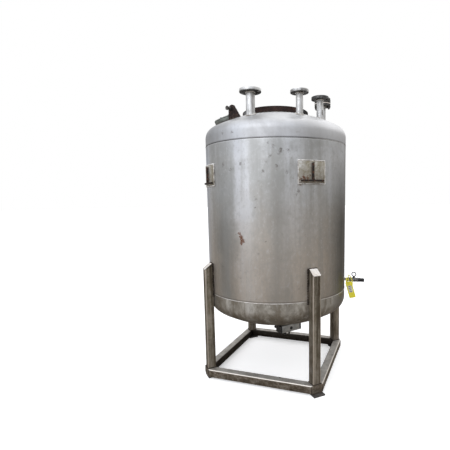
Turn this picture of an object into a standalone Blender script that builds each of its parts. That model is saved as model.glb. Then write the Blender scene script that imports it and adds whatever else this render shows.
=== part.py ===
# Stainless mixing tank on a square tube stand.
# Metres, +Z up. The origin is on the ground, under the tank's axis, and -Y is the front.
# A place round the tank is an angle in degrees: 0 is the front leg, and it grows towards +X.

import math

import bmesh
import bpy
from mathutils import Matrix, Vector

# Fit between pieces that touch
GAP = 0.0003

# Vessel
TANK_RADIUS = 0.5334
WALL = 0.006
SHELL_BOTTOM = 0.632
SHELL_TOP = 1.708
TURN_STEPS = 64
CROWN_STEPS = 7
KNUCKLE_STEPS = 5
HEAD_FLANGE = 0.060
TOP_CROWN = 1.067
TOP_KNUCKLE = 0.080
BOTTOM_CROWN = 0.960
BOTTOM_KNUCKLE = 0.100

# Ring that carries the mixer, on top
RING_OUTER = 0.250
RING_INNER = 0.205
RING_TOP = 1.970
RING_SEAT_STEPS = 3

# Flanged nozzles on top: each has a size, an angle, a distance from the axis and the height of its face
PIPE_SIZES = {
    "two_inch": {"pipe": 0.0302, "flange": 0.0740, "bolt_circle": 0.0600, "bolt_hole": 0.0095},
    "inch_and_half": {"pipe": 0.0242, "flange": 0.0620, "bolt_circle": 0.0492, "bolt_hole": 0.0080},
}
NOZZLES = {
    "nozzle_1": {"size": "two_inch", "angle": -52.2, "reach": 0.380, "face": 2.053},
    "nozzle_2": {"size": "inch_and_half", "angle": -0.7, "reach": 0.380, "face": 2.045},
    "nozzle_3": {"size": "inch_and_half", "angle": 37.0, "reach": 0.362, "face": 2.046},
    "nozzle_4": {"size": "inch_and_half", "angle": 75.3, "reach": 0.380, "face": 2.057},
}
BLIND_NOZZLE = "nozzle_4"
PIPE_WALL = 0.0035
PIPE_STEPS = 36
PIPE_INSIDE_TANK = 0.015
FLANGE_THICK = 0.019
FLANGE_STEPS = 40
FLANGE_FACE_LIP = 0.004
BOLT_HOLES = 4
BOLT_HOLE_STEPS = 16
BLIND_THICK = 0.026

# Hand hole at the left of the top head, behind the lug
HAND_HOLE_ANGLE = -97.0
HAND_HOLE_REACH = 0.370
HAND_HOLE_OUTER = 0.0935
HAND_HOLE_BORE = 0.0650
HAND_HOLE_RING = 0.022
HAND_HOLE_COVER = 0.012

# Lifting lug at the left of the top head, and the pin through it
LUG_ANGLE = -74.0
LUG_REACH = 0.386
LUG_TURN = 10.0
LUG_WIDTH = 0.102
LUG_HEIGHT = 0.094
LUG_ROUND = 0.030
LUG_ROUND_FROM = 20.0
LUG_ROUND_STEPS = 12
LUG_SHOULDER = 0.012
LUG_FOOT = 0.030
LUG_THICK = 0.012
LUG_HOLE = 0.0105
LUG_SEAT_SPAN = 0.09
LUG_SEAT_STEPS = 8
PIN_RADIUS = 0.0095
PIN_LENGTH = 0.086
PIN_HEAD_RADIUS = 0.0140
PIN_HEAD_THICK = 0.010

# Stand: four legs on a square base frame whose corners are cut off
LEGS = {"front": 0.0, "right": 90.0, "back": 180.0, "left": 270.0}
SIDES = {"front_right": 45.0, "back_right": 135.0, "back_left": 225.0, "front_left": 315.0}
LEG_TUBE = 0.061
LEG_INNER = TANK_RADIUS + GAP
LEG_TOP_INNER = 0.857
LEG_TOP_OUTER = 0.821
BASE_TUBE = 0.060
BASE_HALF = 0.453
CORNER_REACH = 0.596
TUBE_WALL = 0.004
FOOT_THICK = 0.010
FOOT_HALF_WIDTH = 0.043
FOOT_INNER = 0.520
FOOT_OUTER = {"front": 0.628, "right": CORNER_REACH, "back": 0.628, "left": CORNER_REACH}
BASE_TOP = FOOT_THICK + GAP + BASE_TUBE

# Brackets on the shell above the legs, with the stub of what was cut off them
BRACKET_HALF_WIDTH = 0.101
BRACKET_BOTTOM = 1.417
BRACKET_TOP = 1.566
BRACKET_THICK = 0.006
BRACKET_STEPS = 8
STUB_REACH = 0.018
STUB_BAR_HALF_WIDTH = 0.084
STUB_BAR_HEIGHT = 1.431
STUB_BAR_THICK = 0.012
STUB_FIN_THICK = 0.010
STUB_FIN_TOP = 1.553
STUB_OVERLAP = 0.002

# Bottom outlet: pipe, ball valve and its pneumatic actuator
OUTLET_RADIUS = 0.0242
OUTLET_TOP = 0.372
OUTLET_BOTTOM = 0.352
VALVE_RADIUS = 0.0290
VALVE_WAIST = 0.0240
VALVE_END = 0.008
VALVE_TAPER = 0.003
VALVE_BOTTOM = 0.276
VALVE_CENTRE = 0.329
STEM_ANGLE = 7.0
STEM_RADIUS = 0.0110
ACTUATOR_NEAR = 0.191
ACTUATOR_LENGTH = 0.165
ACTUATOR_DEPTH = 0.070
ACTUATOR_HEIGHT = 0.056
ACTUATOR_CAP = 0.013

# Sample valve on the right side
SAMPLE_ANGLE = 45.0
SAMPLE_HEIGHT = 0.713
SAMPLE_STEPS = 24
NIPPLE_RADIUS = 0.0107
NIPPLE_END = 0.577
SAMPLE_BODY_END = 0.640
SAMPLE_BODY_RADIUS = 0.0165
SAMPLE_NECK_RADIUS = 0.0150
SAMPLE_NECK = 0.012
SAMPLE_TAPER = 0.008
SAMPLE_BORE = 0.006
SAMPLE_STEM_REACH = 0.608
SAMPLE_STEM_RADIUS = 0.0060
SAMPLE_STEM_TOP = 0.022
SAMPLE_CAP_END = 0.684
SAMPLE_CAP_RADIUS = 0.0150
HANDLE_RADIUS = 0.015
HANDLE_WIRE = 0.0035
HANDLE_STEPS = 28
HANDLE_SIDES = 8

# Tag that hangs from the sample valve's pipe by a strap
STRAP_REACH = 0.556
STRAP_WIDTH = 0.012
STRAP_THICK = 0.0015
STRAP_DROP = 0.030
STRAP_STEPS = 12
TAG_WIDTH = 0.048
TAG_HEIGHT = 0.125
TAG_THICK = 0.002
TAG_DROP = 0.0165
TAG_REACH = 0.569
TAG_TILT = 16.0

# Reach of a cutter past what it cuts
CUT_PAST = 0.05


def clear_scene():
    for obj in list(bpy.data.objects):
        bpy.data.objects.remove(obj, do_unlink=True)


def make_collection(name):
    collection = bpy.data.collections.new(name)
    bpy.context.scene.collection.children.link(collection)
    return collection


def make_material(name, colour, roughness, metallic):
    material = bpy.data.materials.new(name)
    material.use_nodes = True
    shader = material.node_tree.nodes["Principled BSDF"]
    shader.inputs["Base Color"].default_value = (*colour, 1.0)
    shader.inputs["Roughness"].default_value = roughness
    shader.inputs["Metallic"].default_value = metallic
    material.diffuse_color = (*colour, 1.0)
    return material


clear_scene()
PARTS = make_collection("mixing_tank")
CUTTERS = make_collection("cutters")
STEEL = make_material("brushed_stainless", (0.56, 0.55, 0.52), 0.38, 1.0)
STAND_STEEL = make_material("stained_stainless", (0.36, 0.33, 0.29), 0.50, 0.9)
RUSTY = make_material("rusted_steel", (0.16, 0.07, 0.04), 0.85, 0.2)
BLACK = make_material("black_coating", (0.02, 0.02, 0.02), 0.50, 0.0)
ALUMINIUM = make_material("actuator_aluminium", (0.42, 0.43, 0.42), 0.45, 1.0)
YELLOW = make_material("tag_yellow", (0.75, 0.65, 0.10), 0.60, 0.0)
GREY = make_material("dark_steel", (0.12, 0.12, 0.12), 0.55, 0.8)


def outward(angle):
    turn = math.radians(angle)
    return Vector((math.sin(turn), -math.cos(turn), 0.0))


def turn_round(angle):
    return Matrix.Rotation(math.radians(angle), 4, "Z")


def point_outward(angle, height):
    # Lays a piece that was made along +Z so that it points away from the axis.
    return Matrix.Translation((0.0, 0.0, height)) @ turn_round(angle) @ Matrix.Rotation(math.pi / 2, 4, "X")


def finish(name, mesh, material, smooth=True, collection=PARTS):
    obj = bpy.data.objects.new(name, mesh)
    collection.objects.link(obj)
    obj.data.materials.append(material)
    if smooth:
        mesh.shade_smooth()
        mesh.set_sharp_from_angle(angle=math.radians(35))
    return obj


def from_bmesh(name, bm, material, smooth=False, collection=PARTS):
    bmesh.ops.recalc_face_normals(bm, faces=bm.faces)
    mesh = bpy.data.meshes.new(name)
    bm.to_mesh(mesh)
    bm.free()
    return finish(name, mesh, material, smooth, collection)


def make_cutter(obj):
    obj.hide_render = True
    obj.display_type = "WIRE"
    return obj


def cut(obj, cutter):
    modifier = obj.modifiers.new("cut_" + cutter.name, "BOOLEAN")
    modifier.operation = "DIFFERENCE"
    modifier.solver = "EXACT"
    modifier.object = cutter


def join(obj, other):
    # Makes a second solid part of the first by a Boolean union, and keeps it as a helper.
    modifier = obj.modifiers.new("join_" + other.name, "BOOLEAN")
    modifier.operation = "UNION"
    modifier.solver = "EXACT"
    modifier.object = other
    for collection in list(other.users_collection):
        collection.objects.unlink(other)
    CUTTERS.objects.link(make_cutter(other))


def box(name, low, high, material, collection=PARTS):
    bm = bmesh.new()
    bmesh.ops.create_cube(bm, size=1.0)
    size = Vector(high) - Vector(low)
    bmesh.ops.scale(bm, vec=size, verts=bm.verts)
    bmesh.ops.translate(bm, vec=(Vector(low) + Vector(high)) / 2, verts=bm.verts)
    return from_bmesh(name, bm, material, collection=collection)


def rod(name, radius, low, high, material, sides=32, collection=PARTS):
    # A solid cylinder along Z.
    bm = bmesh.new()
    bmesh.ops.create_cone(
        bm, cap_ends=True, segments=sides, radius1=radius, radius2=radius, depth=high - low
    )
    bmesh.ops.translate(bm, vec=(0.0, 0.0, (low + high) / 2), verts=bm.verts)
    return from_bmesh(name, bm, material, smooth=True, collection=collection)


def runs_down_outside(loop):
    area = 0.0
    for (r0, z0), (r1, z1) in zip(loop, loop[1:] + loop[:1]):
        area += r0 * z1 - r1 * z0
    return area < 0.0


def turned(name, loop, material, steps=TURN_STEPS, collection=PARTS):
    # A closed outline of (radius, height) points, turned about Z.
    if not runs_down_outside(loop):
        loop = loop[::-1]
    bm = bmesh.new()
    verts = [bm.verts.new((r, 0.0, z)) for r, z in loop]
    on_axis = [r == 0.0 for r, _ in loop]
    for i, vert in enumerate(verts):
        follower = (i + 1) % len(verts)
        if not (on_axis[i] and on_axis[follower]):
            bm.edges.new((vert, verts[follower]))
    mesh = bpy.data.meshes.new(name)
    bm.to_mesh(mesh)
    bm.free()
    obj = bpy.data.objects.new(name, mesh)
    collection.objects.link(obj)
    obj.data.materials.append(material)
    screw = obj.modifiers.new("turn", "SCREW")
    screw.steps = steps
    screw.render_steps = steps
    screw.use_merge_vertices = True
    screw.merge_threshold = 0.0001
    screw.use_smooth_shade = True
    return obj


def sleeve(name, inner, outer, low, high, material, steps):
    # A turned ring of rectangular section.
    return turned(name, [(outer, high), (outer, low), (inner, low), (inner, high)], material, steps)


def disc(name, radius, low, high, material, steps):
    return turned(name, [(0.0, high), (radius, high), (radius, low), (0.0, low)], material, steps)


def arc(radius, start, end, steps):
    # Points of an arc between two angles in degrees, from +X towards +Y.
    points = []
    for i in range(steps + 1):
        turn = math.radians(start + (end - start) * i / steps)
        points.append((radius * math.cos(turn), radius * math.sin(turn)))
    return points


def plate(name, outline, thickness, material):
    # A flat outline of (x, y) points, thick along Z and centred on it.
    curve = bpy.data.curves.new(name, "CURVE")
    curve.dimensions = "2D"
    curve.fill_mode = "BOTH"
    curve.extrude = thickness / 2
    spline = curve.splines.new("POLY")
    spline.points.add(len(outline) - 1)
    for point, (x, y) in zip(spline.points, outline):
        point.co = (x, y, 0.0, 1.0)
    spline.use_cyclic_u = True
    obj = bpy.data.objects.new(name, curve)
    PARTS.objects.link(obj)
    obj.data.materials.append(material)
    return obj


def meshed(obj):
    # The curve's evaluated shape as a mesh with its caps welded, which Booleans can use.
    bpy.context.view_layer.update()
    graph = bpy.context.evaluated_depsgraph_get()
    mesh = bpy.data.meshes.new_from_object(obj.evaluated_get(graph))
    bm = bmesh.new()
    bm.from_mesh(mesh)
    bmesh.ops.remove_doubles(bm, verts=bm.verts, dist=0.00001)
    bmesh.ops.recalc_face_normals(bm, faces=bm.faces)
    bm.to_mesh(mesh)
    bm.free()
    name = obj.name
    material = obj.data.materials[0]
    place = obj.matrix_world.copy()
    bpy.data.objects.remove(obj, do_unlink=True)
    made = bpy.data.objects.new(name, mesh)
    PARTS.objects.link(made)
    made.matrix_world = place
    if not mesh.materials:
        mesh.materials.append(material)
    return made


def curved_plate(name, angle, half_width, low, high, inner, thick, material):
    # A plate that wraps round the shell, centred at an angle.
    half_turn = math.degrees(half_width / inner)
    front = -90.0
    outer_side = arc(inner + thick, front - half_turn, front + half_turn, BRACKET_STEPS)
    inner_side = arc(inner, front + half_turn, front - half_turn, BRACKET_STEPS)
    obj = plate(name, outer_side + inner_side, high - low, material)
    obj.location.z = (low + high) / 2
    obj.rotation_euler.z = math.radians(angle)
    return obj


def thicken(obj, wall):
    solidify = obj.modifiers.new("wall", "SOLIDIFY")
    solidify.thickness = wall
    solidify.offset = -1.0
    solidify.use_even_offset = True


def cut_off(bm, point, normal, fill):
    geometry = list(bm.verts) + list(bm.edges) + list(bm.faces)
    made = bmesh.ops.bisect_plane(
        bm, geom=geometry, plane_co=point, plane_no=normal, clear_outer=True
    )
    if fill:
        edges = [item for item in made["geom_cut"] if isinstance(item, bmesh.types.BMEdge)]
        bmesh.ops.edgeloop_fill(bm, edges=edges)


def dish_depth(crown, knuckle):
    return crown - math.sqrt((crown - knuckle) ** 2 - (TANK_RADIUS - knuckle) ** 2)


def dished_outline(crown, knuckle, opening):
    # Half section of a dished head, its seam at height 0 and its crown upwards.
    crown_centre = HEAD_FLANGE + dish_depth(crown, knuckle) - crown
    knuckle_reach = TANK_RADIUS - knuckle
    meeting = math.asin(knuckle_reach / (crown - knuckle))
    outline = []
    for inset, order in ((0.0, 1), (WALL, -1)):
        radius = crown - inset
        bend = knuckle - inset
        start = math.asin(opening / radius)
        side = []
        for i in range(CROWN_STEPS + 1):
            turn = start + (meeting - start) * i / CROWN_STEPS
            side.append((radius * math.sin(turn), crown_centre + radius * math.cos(turn)))
        for i in range(1, KNUCKLE_STEPS + 1):
            turn = meeting + (math.pi / 2 - meeting) * i / KNUCKLE_STEPS
            side.append((knuckle_reach + bend * math.sin(turn), HEAD_FLANGE + bend * math.cos(turn)))
        side.append((TANK_RADIUS - inset, 0.0))
        outline += side[::order]
    return outline


TOP_CROWN_CENTRE = SHELL_TOP + HEAD_FLANGE + dish_depth(TOP_CROWN, TOP_KNUCKLE) - TOP_CROWN


def top_height(reach):
    # Height of the top head's outside at a distance from the axis.
    return TOP_CROWN_CENTRE + math.sqrt(TOP_CROWN**2 - reach**2)


def square_to_crown(angle, reach):
    # Stands a piece that was made along +Z from the crown's centre square to the top head.
    lean = math.asin(reach / TOP_CROWN)
    return (
        Matrix.Translation((0.0, 0.0, TOP_CROWN_CENTRE))
        @ turn_round(angle)
        @ Matrix.Rotation(lean, 4, "X")
    )


def make_shell():
    sleeve(
        "shell",
        TANK_RADIUS - WALL,
        TANK_RADIUS,
        SHELL_BOTTOM + GAP / 2,
        SHELL_TOP - GAP / 2,
        STEEL,
        TURN_STEPS,
    )


def make_top_head():
    outline = dished_outline(TOP_CROWN, TOP_KNUCKLE, RING_INNER)
    return turned("top_head", [(r, SHELL_TOP + GAP / 2 + z) for r, z in outline], STEEL)


def make_bottom_head():
    outline = dished_outline(BOTTOM_CROWN, BOTTOM_KNUCKLE, OUTLET_RADIUS + GAP)
    turned("bottom_head", [(r, SHELL_BOTTOM - GAP / 2 - z) for r, z in outline], STEEL)


def make_mixer_ring():
    seat = []
    for i in range(RING_SEAT_STEPS + 1):
        r = RING_INNER + (RING_OUTER - RING_INNER) * i / RING_SEAT_STEPS
        seat.append((r, top_height(r) + 2 * GAP))
    turned("mixer_ring", seat + [(RING_OUTER, RING_TOP), (RING_INNER, RING_TOP)], RUSTY)


def bolt_cutter(name, size, low, high):
    bm = bmesh.new()
    for i in range(BOLT_HOLES):
        turn = 2 * math.pi * (i + 0.5) / BOLT_HOLES
        made = bmesh.ops.create_cone(
            bm,
            cap_ends=True,
            segments=BOLT_HOLE_STEPS,
            radius1=size["bolt_hole"],
            radius2=size["bolt_hole"],
            depth=high - low,
        )
        circle = size["bolt_circle"]
        centre = (circle * math.cos(turn), circle * math.sin(turn), (low + high) / 2)
        bmesh.ops.translate(bm, vec=centre, verts=made["verts"])
    return make_cutter(from_bmesh(name, bm, STEEL, collection=CUTTERS))


def make_nozzle(name, nozzle, top_head):
    size = PIPE_SIZES[nozzle["size"]]
    pipe = size["pipe"]
    place = outward(nozzle["angle"]) * nozzle["reach"]
    low = top_height(nozzle["reach"] + pipe) - WALL - PIPE_INSIDE_TANK
    face = nozzle["face"]
    under = face - FLANGE_THICK
    tube = sleeve(name + "_pipe", pipe - PIPE_WALL, pipe, low, face - FLANGE_FACE_LIP, STEEL, PIPE_STEPS)
    tube.location = place
    flange = sleeve(name + "_flange", pipe + GAP, size["flange"], under, face, STEEL, FLANGE_STEPS)
    flange.location = place
    bolts = bolt_cutter(name + "_bolts", size, under - CUT_PAST, face + CUT_PAST)
    bolts.location = place
    cut(flange, bolts)
    opening = rod(name + "_opening", pipe + GAP, low - CUT_PAST, face, STEEL, PIPE_STEPS, CUTTERS)
    opening.location = place
    cut(top_head, make_cutter(opening))


def make_blind():
    nozzle = NOZZLES[BLIND_NOZZLE]
    seat = nozzle["face"] + GAP
    radius = PIPE_SIZES[nozzle["size"]]["flange"]
    blind = disc(BLIND_NOZZLE + "_blind", radius, seat, seat + BLIND_THICK, GREY, FLANGE_STEPS)
    blind.location = outward(nozzle["angle"]) * nozzle["reach"]


def make_hand_hole(top_head):
    place = square_to_crown(HAND_HOLE_ANGLE, HAND_HOLE_REACH)
    top = TOP_CROWN + HAND_HOLE_RING
    middle = (HAND_HOLE_BORE + HAND_HOLE_OUTER) / 2
    seat = []
    for r in (HAND_HOLE_BORE, middle, HAND_HOLE_OUTER):
        seat.append((r, math.sqrt(TOP_CROWN**2 - r**2) + 2 * GAP))
    ring = turned(
        "hand_hole_ring", seat + [(HAND_HOLE_OUTER, top), (HAND_HOLE_BORE, top)], STEEL, FLANGE_STEPS
    )
    ring.matrix_world = place
    low = top + GAP
    cover = disc("hand_hole_cover", HAND_HOLE_OUTER, low, low + HAND_HOLE_COVER, STEEL, FLANGE_STEPS)
    cover.matrix_world = place
    opening = rod(
        "hand_hole_opening",
        HAND_HOLE_BORE,
        TOP_CROWN - CUT_PAST,
        TOP_CROWN + CUT_PAST,
        STEEL,
        FLANGE_STEPS,
        CUTTERS,
    )
    opening.matrix_world = place
    cut(top_head, make_cutter(opening))


def make_lifting_lug():
    # A plate with one upright side, and a round top that stands over that side.
    half = LUG_WIDTH / 2
    eye = (LUG_ROUND - half, LUG_HEIGHT - LUG_ROUND)
    top = arc(LUG_ROUND, LUG_ROUND_FROM, 180.0, LUG_ROUND_STEPS)
    outline = [(-half, -LUG_FOOT), (half, -LUG_FOOT), (half, LUG_SHOULDER)]
    outline += [(eye[0] + x, eye[1] + y) for x, y in top]
    lug = plate("lifting_lug", outline, LUG_THICK, RUSTY)
    place = outward(LUG_ANGLE) * LUG_REACH
    place.z = top_height(LUG_REACH)
    upright = Matrix.Rotation(math.pi / 2, 4, "X")
    lug.matrix_world = Matrix.Translation(place) @ turn_round(LUG_ANGLE + LUG_TURN) @ upright
    lug = meshed(lug)
    over = TOP_CROWN + 2 * GAP
    under = TOP_CROWN - LUG_WIDTH
    seat = []
    for i in range(LUG_SEAT_STEPS + 1):
        turn = LUG_SEAT_SPAN * i / LUG_SEAT_STEPS
        seat.append((over * math.sin(turn), over * math.cos(turn)))
    seat_form = turned(
        "lug_seat_form", seat + [(seat[-1][0], under), (0.0, under)], STEEL, PIPE_STEPS, CUTTERS
    )
    seat_form.matrix_world = square_to_crown(LUG_ANGLE, LUG_REACH)
    cut(lug, make_cutter(seat_form))
    pin_hole = rod("lug_pin_hole", LUG_HOLE, -CUT_PAST, CUT_PAST, STEEL, SAMPLE_STEPS, CUTTERS)
    pin_place = lug.matrix_world @ Matrix.Translation((*eye, 0.0))
    pin_hole.matrix_world = pin_place
    cut(lug, make_cutter(pin_hole))
    end = PIN_LENGTH / 2
    head = end + PIN_HEAD_THICK
    pin = turned(
        "lug_pin",
        [
            (0.0, -end),
            (PIN_RADIUS, -end),
            (PIN_RADIUS, end),
            (PIN_HEAD_RADIUS, end),
            (PIN_HEAD_RADIUS, head),
            (0.0, head),
        ],
        GREY,
        SAMPLE_STEPS,
    )
    pin.matrix_world = pin_place


def make_leg(name, angle):
    # A square tube with a sloping top, open at its foot.
    low = BASE_TOP + GAP
    middle = (LEG_TOP_INNER + low) / 2
    bm = bmesh.new()
    bmesh.ops.create_cube(bm, size=1.0)
    bmesh.ops.scale(bm, vec=(LEG_TUBE, LEG_TUBE, LEG_TOP_INNER - low), verts=bm.verts)
    bmesh.ops.translate(bm, vec=(0.0, 0.0, middle), verts=bm.verts)
    for vert in bm.verts:
        if vert.co.z > middle and vert.co.y < 0.0:
            vert.co.z = LEG_TOP_OUTER
    under = [face for face in bm.faces if face.normal.z < -0.9]
    bmesh.ops.delete(bm, geom=under, context="FACES")
    leg = from_bmesh(name, bm, STAND_STEEL)
    thicken(leg, TUBE_WALL)
    leg.location = outward(angle) * (LEG_INNER + LEG_TUBE / 2)
    leg.rotation_euler.z = math.radians(angle)


def make_foot_plate(name, angle, outer):
    low = (-FOOT_HALF_WIDTH, -outer, 0.0)
    high = (FOOT_HALF_WIDTH, -FOOT_INNER, FOOT_THICK)
    foot = box(name, low, high, STAND_STEEL)
    foot.rotation_euler.z = math.radians(angle)


def make_base_rail(name, angle):
    # A square tube with mitred ends, and the outer corners cut off where the legs stand.
    low = FOOT_THICK + GAP
    bm = bmesh.new()
    bmesh.ops.create_cube(bm, size=1.0)
    bmesh.ops.scale(bm, vec=(2 * BASE_HALF, BASE_TUBE, BASE_TUBE), verts=bm.verts)
    place = (0.0, BASE_TUBE / 2 - BASE_HALF, low + BASE_TUBE / 2)
    bmesh.ops.translate(bm, vec=place, verts=bm.verts)
    for hand in (1, -1):
        towards_corner = Vector((hand, -1.0, 0.0)).normalized()
        across_mitre = Vector((hand, 1.0, 0.0)).normalized()
        cut_off(bm, towards_corner * CORNER_REACH, towards_corner, fill=True)
        cut_off(bm, across_mitre * -GAP / 2, across_mitre, fill=False)
    rail = from_bmesh(name, bm, STAND_STEEL)
    thicken(rail, TUBE_WALL)
    rail.rotation_euler.z = math.radians(angle)


def make_stand():
    for corner, angle in LEGS.items():
        make_leg("leg_" + corner, angle)
        make_foot_plate("foot_plate_" + corner, angle, FOOT_OUTER[corner])
    for side, angle in SIDES.items():
        make_base_rail("base_rail_" + side, angle)


def make_bracket(name, angle):
    # A curved pad with a bar and a fin left on it.
    inner = TANK_RADIUS + GAP
    pad_middle = inner + BRACKET_THICK / 2
    bar_top = STUB_BAR_HEIGHT + STUB_BAR_THICK
    pad = meshed(
        curved_plate(
            name, angle, BRACKET_HALF_WIDTH, BRACKET_BOTTOM, BRACKET_TOP, inner, BRACKET_THICK, STEEL
        )
    )
    bar = curved_plate(
        name + "_bar", angle, STUB_BAR_HALF_WIDTH, STUB_BAR_HEIGHT, bar_top, pad_middle, STUB_REACH, RUSTY
    )
    join(pad, meshed(bar))
    fin = box(
        name + "_fin",
        (-STUB_FIN_THICK / 2, -pad_middle - STUB_REACH + STUB_OVERLAP, bar_top - STUB_OVERLAP),
        (STUB_FIN_THICK / 2, -pad_middle, STUB_FIN_TOP),
        RUSTY,
    )
    fin.rotation_euler.z = math.radians(angle)
    join(pad, fin)


def make_outlet():
    bore = OUTLET_RADIUS - PIPE_WALL
    sleeve("outlet_pipe", bore, OUTLET_RADIUS, OUTLET_BOTTOM, OUTLET_TOP, STEEL, PIPE_STEPS)
    top = OUTLET_BOTTOM - GAP
    outline = [
        (bore, top),
        (VALVE_RADIUS, top),
        (VALVE_RADIUS, top - VALVE_END),
        (VALVE_WAIST, top - VALVE_END - VALVE_TAPER),
        (VALVE_WAIST, VALVE_BOTTOM + VALVE_END + VALVE_TAPER),
        (VALVE_RADIUS, VALVE_BOTTOM + VALVE_END),
        (VALVE_RADIUS, VALVE_BOTTOM),
        (bore, VALVE_BOTTOM),
    ]
    turned("outlet_valve", outline, BLACK, PIPE_STEPS)


def make_actuator():
    # Its long side lies square to the stem, which comes out of the valve at the stem's angle.
    near = -ACTUATOR_NEAR
    far = near + ACTUATOR_DEPTH
    stem = rod("actuator_stem", STEM_RADIUS, VALVE_WAIST + 2 * GAP, -far - GAP, GREY, SAMPLE_STEPS)
    stem.matrix_world = point_outward(STEM_ANGLE, VALVE_CENTRE)
    low = VALVE_CENTRE - ACTUATOR_HEIGHT / 2
    high = VALVE_CENTRE + ACTUATOR_HEIGHT / 2
    end = ACTUATOR_LENGTH / 2
    cap_start = end + GAP
    cap_end = end + ACTUATOR_CAP
    pieces = [
        box("actuator_body", (-end, near, low), (end, far, high), ALUMINIUM),
        box("actuator_cap_left", (-cap_end, near, low), (-cap_start, far, high), BLACK),
        box("actuator_cap_right", (cap_start, near, low), (cap_end, far, high), BLACK),
    ]
    for piece in pieces:
        piece.rotation_euler.z = math.radians(STEM_ANGLE)


def make_sample_valve():
    place = point_outward(SAMPLE_ANGLE, SAMPLE_HEIGHT)
    nipple = rod("sample_nipple", NIPPLE_RADIUS, TANK_RADIUS + GAP, NIPPLE_END, STEEL, SAMPLE_STEPS)
    nipple.matrix_world = place
    start = NIPPLE_END + GAP
    end = SAMPLE_BODY_END
    outline = [
        (SAMPLE_BORE, start),
        (SAMPLE_NECK_RADIUS, start),
        (SAMPLE_NECK_RADIUS, start + SAMPLE_NECK),
        (SAMPLE_BODY_RADIUS, start + SAMPLE_NECK + SAMPLE_TAPER),
        (SAMPLE_BODY_RADIUS, end - SAMPLE_NECK - SAMPLE_TAPER),
        (SAMPLE_NECK_RADIUS, end - SAMPLE_NECK),
        (SAMPLE_NECK_RADIUS, end),
        (SAMPLE_BORE, end),
    ]
    body = turned("sample_valve", outline, STEEL, SAMPLE_STEPS)
    body.matrix_world = place
    cap = disc("sample_cap", SAMPLE_CAP_RADIUS, end + GAP, SAMPLE_CAP_END, BLACK, SAMPLE_STEPS)
    cap.matrix_world = place


def make_sample_handle():
    # A ring of wire that stands on the valve's stem and turns with it.
    low = SAMPLE_HEIGHT + SAMPLE_STEM_TOP
    bpy.ops.mesh.primitive_torus_add(
        major_segments=HANDLE_STEPS,
        minor_segments=HANDLE_SIDES,
        major_radius=HANDLE_RADIUS,
        minor_radius=HANDLE_WIRE,
    )
    ring = bpy.context.object
    ring.name = "sample_handle"
    for collection in list(ring.users_collection):
        collection.objects.unlink(ring)
    PARTS.objects.link(ring)
    ring.data.materials.append(BLACK)
    foot = outward(SAMPLE_ANGLE) * SAMPLE_STEM_REACH
    centre = foot + Vector((0.0, 0.0, low + HANDLE_RADIUS + HANDLE_WIRE))
    on_edge = Matrix.Rotation(math.pi / 2, 4, "Y")
    ring.matrix_world = Matrix.Translation(centre) @ turn_round(SAMPLE_ANGLE) @ on_edge
    stem_low = SAMPLE_HEIGHT + SAMPLE_BODY_RADIUS + GAP
    stem = rod("sample_stem", SAMPLE_STEM_RADIUS, stem_low, low + HANDLE_WIRE, GREY, SAMPLE_STEPS)
    stem.location = foot
    join(ring, stem)


def make_tag():
    # The strap goes over the pipe, and the tag lies aslant against the strap's left side.
    inner = NIPPLE_RADIUS + GAP
    outer = inner + STRAP_THICK
    outline = arc(outer, 0.0, 180.0, STRAP_STEPS)
    outline += [(-outer, -STRAP_DROP), (-inner, -STRAP_DROP)]
    outline += arc(inner, 180.0, 0.0, STRAP_STEPS)
    outline += [(inner, -STRAP_DROP), (outer, -STRAP_DROP)]
    strap = plate("tag_strap", outline, STRAP_WIDTH, YELLOW)
    strap.matrix_world = point_outward(SAMPLE_ANGLE, SAMPLE_HEIGHT) @ Matrix.Translation(
        (0.0, 0.0, STRAP_REACH)
    )
    low = (-outer - GAP - TAG_THICK, -TAG_WIDTH / 2, -TAG_HEIGHT)
    high = (-outer - GAP, TAG_WIDTH / 2, 0.0)
    tag = box("tag", low, high, YELLOW)
    hung = Matrix.Translation((0.0, -TAG_REACH, SAMPLE_HEIGHT - TAG_DROP))
    aslant = Matrix.Rotation(math.radians(-TAG_TILT), 4, "X")
    tag.matrix_world = turn_round(SAMPLE_ANGLE) @ hung @ aslant


make_shell()
make_bottom_head()
TOP_HEAD = make_top_head()
make_mixer_ring()
for nozzle_name, nozzle_place in NOZZLES.items():
    make_nozzle(nozzle_name, nozzle_place, TOP_HEAD)
make_blind()
make_hand_hole(TOP_HEAD)
make_lifting_lug()
make_stand()
for bracket_corner, bracket_angle in LEGS.items():
    make_bracket("bracket_" + bracket_corner, bracket_angle)
make_outlet()
make_actuator()
make_sample_valve()
make_sample_handle()
make_tag()
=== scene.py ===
import math

import bmesh
import bpy
from mathutils import Matrix, Vector, noise


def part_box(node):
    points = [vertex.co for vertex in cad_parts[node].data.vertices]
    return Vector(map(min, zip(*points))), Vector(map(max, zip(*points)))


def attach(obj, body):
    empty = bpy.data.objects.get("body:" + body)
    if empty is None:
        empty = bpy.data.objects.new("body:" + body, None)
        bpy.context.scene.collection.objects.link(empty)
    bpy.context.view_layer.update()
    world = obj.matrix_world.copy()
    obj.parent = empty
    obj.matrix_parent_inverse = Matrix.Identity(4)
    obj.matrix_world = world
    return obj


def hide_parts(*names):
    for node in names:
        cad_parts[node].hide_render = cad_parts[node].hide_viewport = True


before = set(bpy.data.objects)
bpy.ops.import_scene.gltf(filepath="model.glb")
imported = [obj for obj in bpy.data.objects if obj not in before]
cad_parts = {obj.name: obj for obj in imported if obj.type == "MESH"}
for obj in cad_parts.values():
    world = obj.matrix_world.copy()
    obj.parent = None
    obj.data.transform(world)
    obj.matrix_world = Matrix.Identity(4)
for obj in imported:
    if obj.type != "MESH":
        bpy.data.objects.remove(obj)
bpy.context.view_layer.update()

print("frame loaded")

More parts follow.
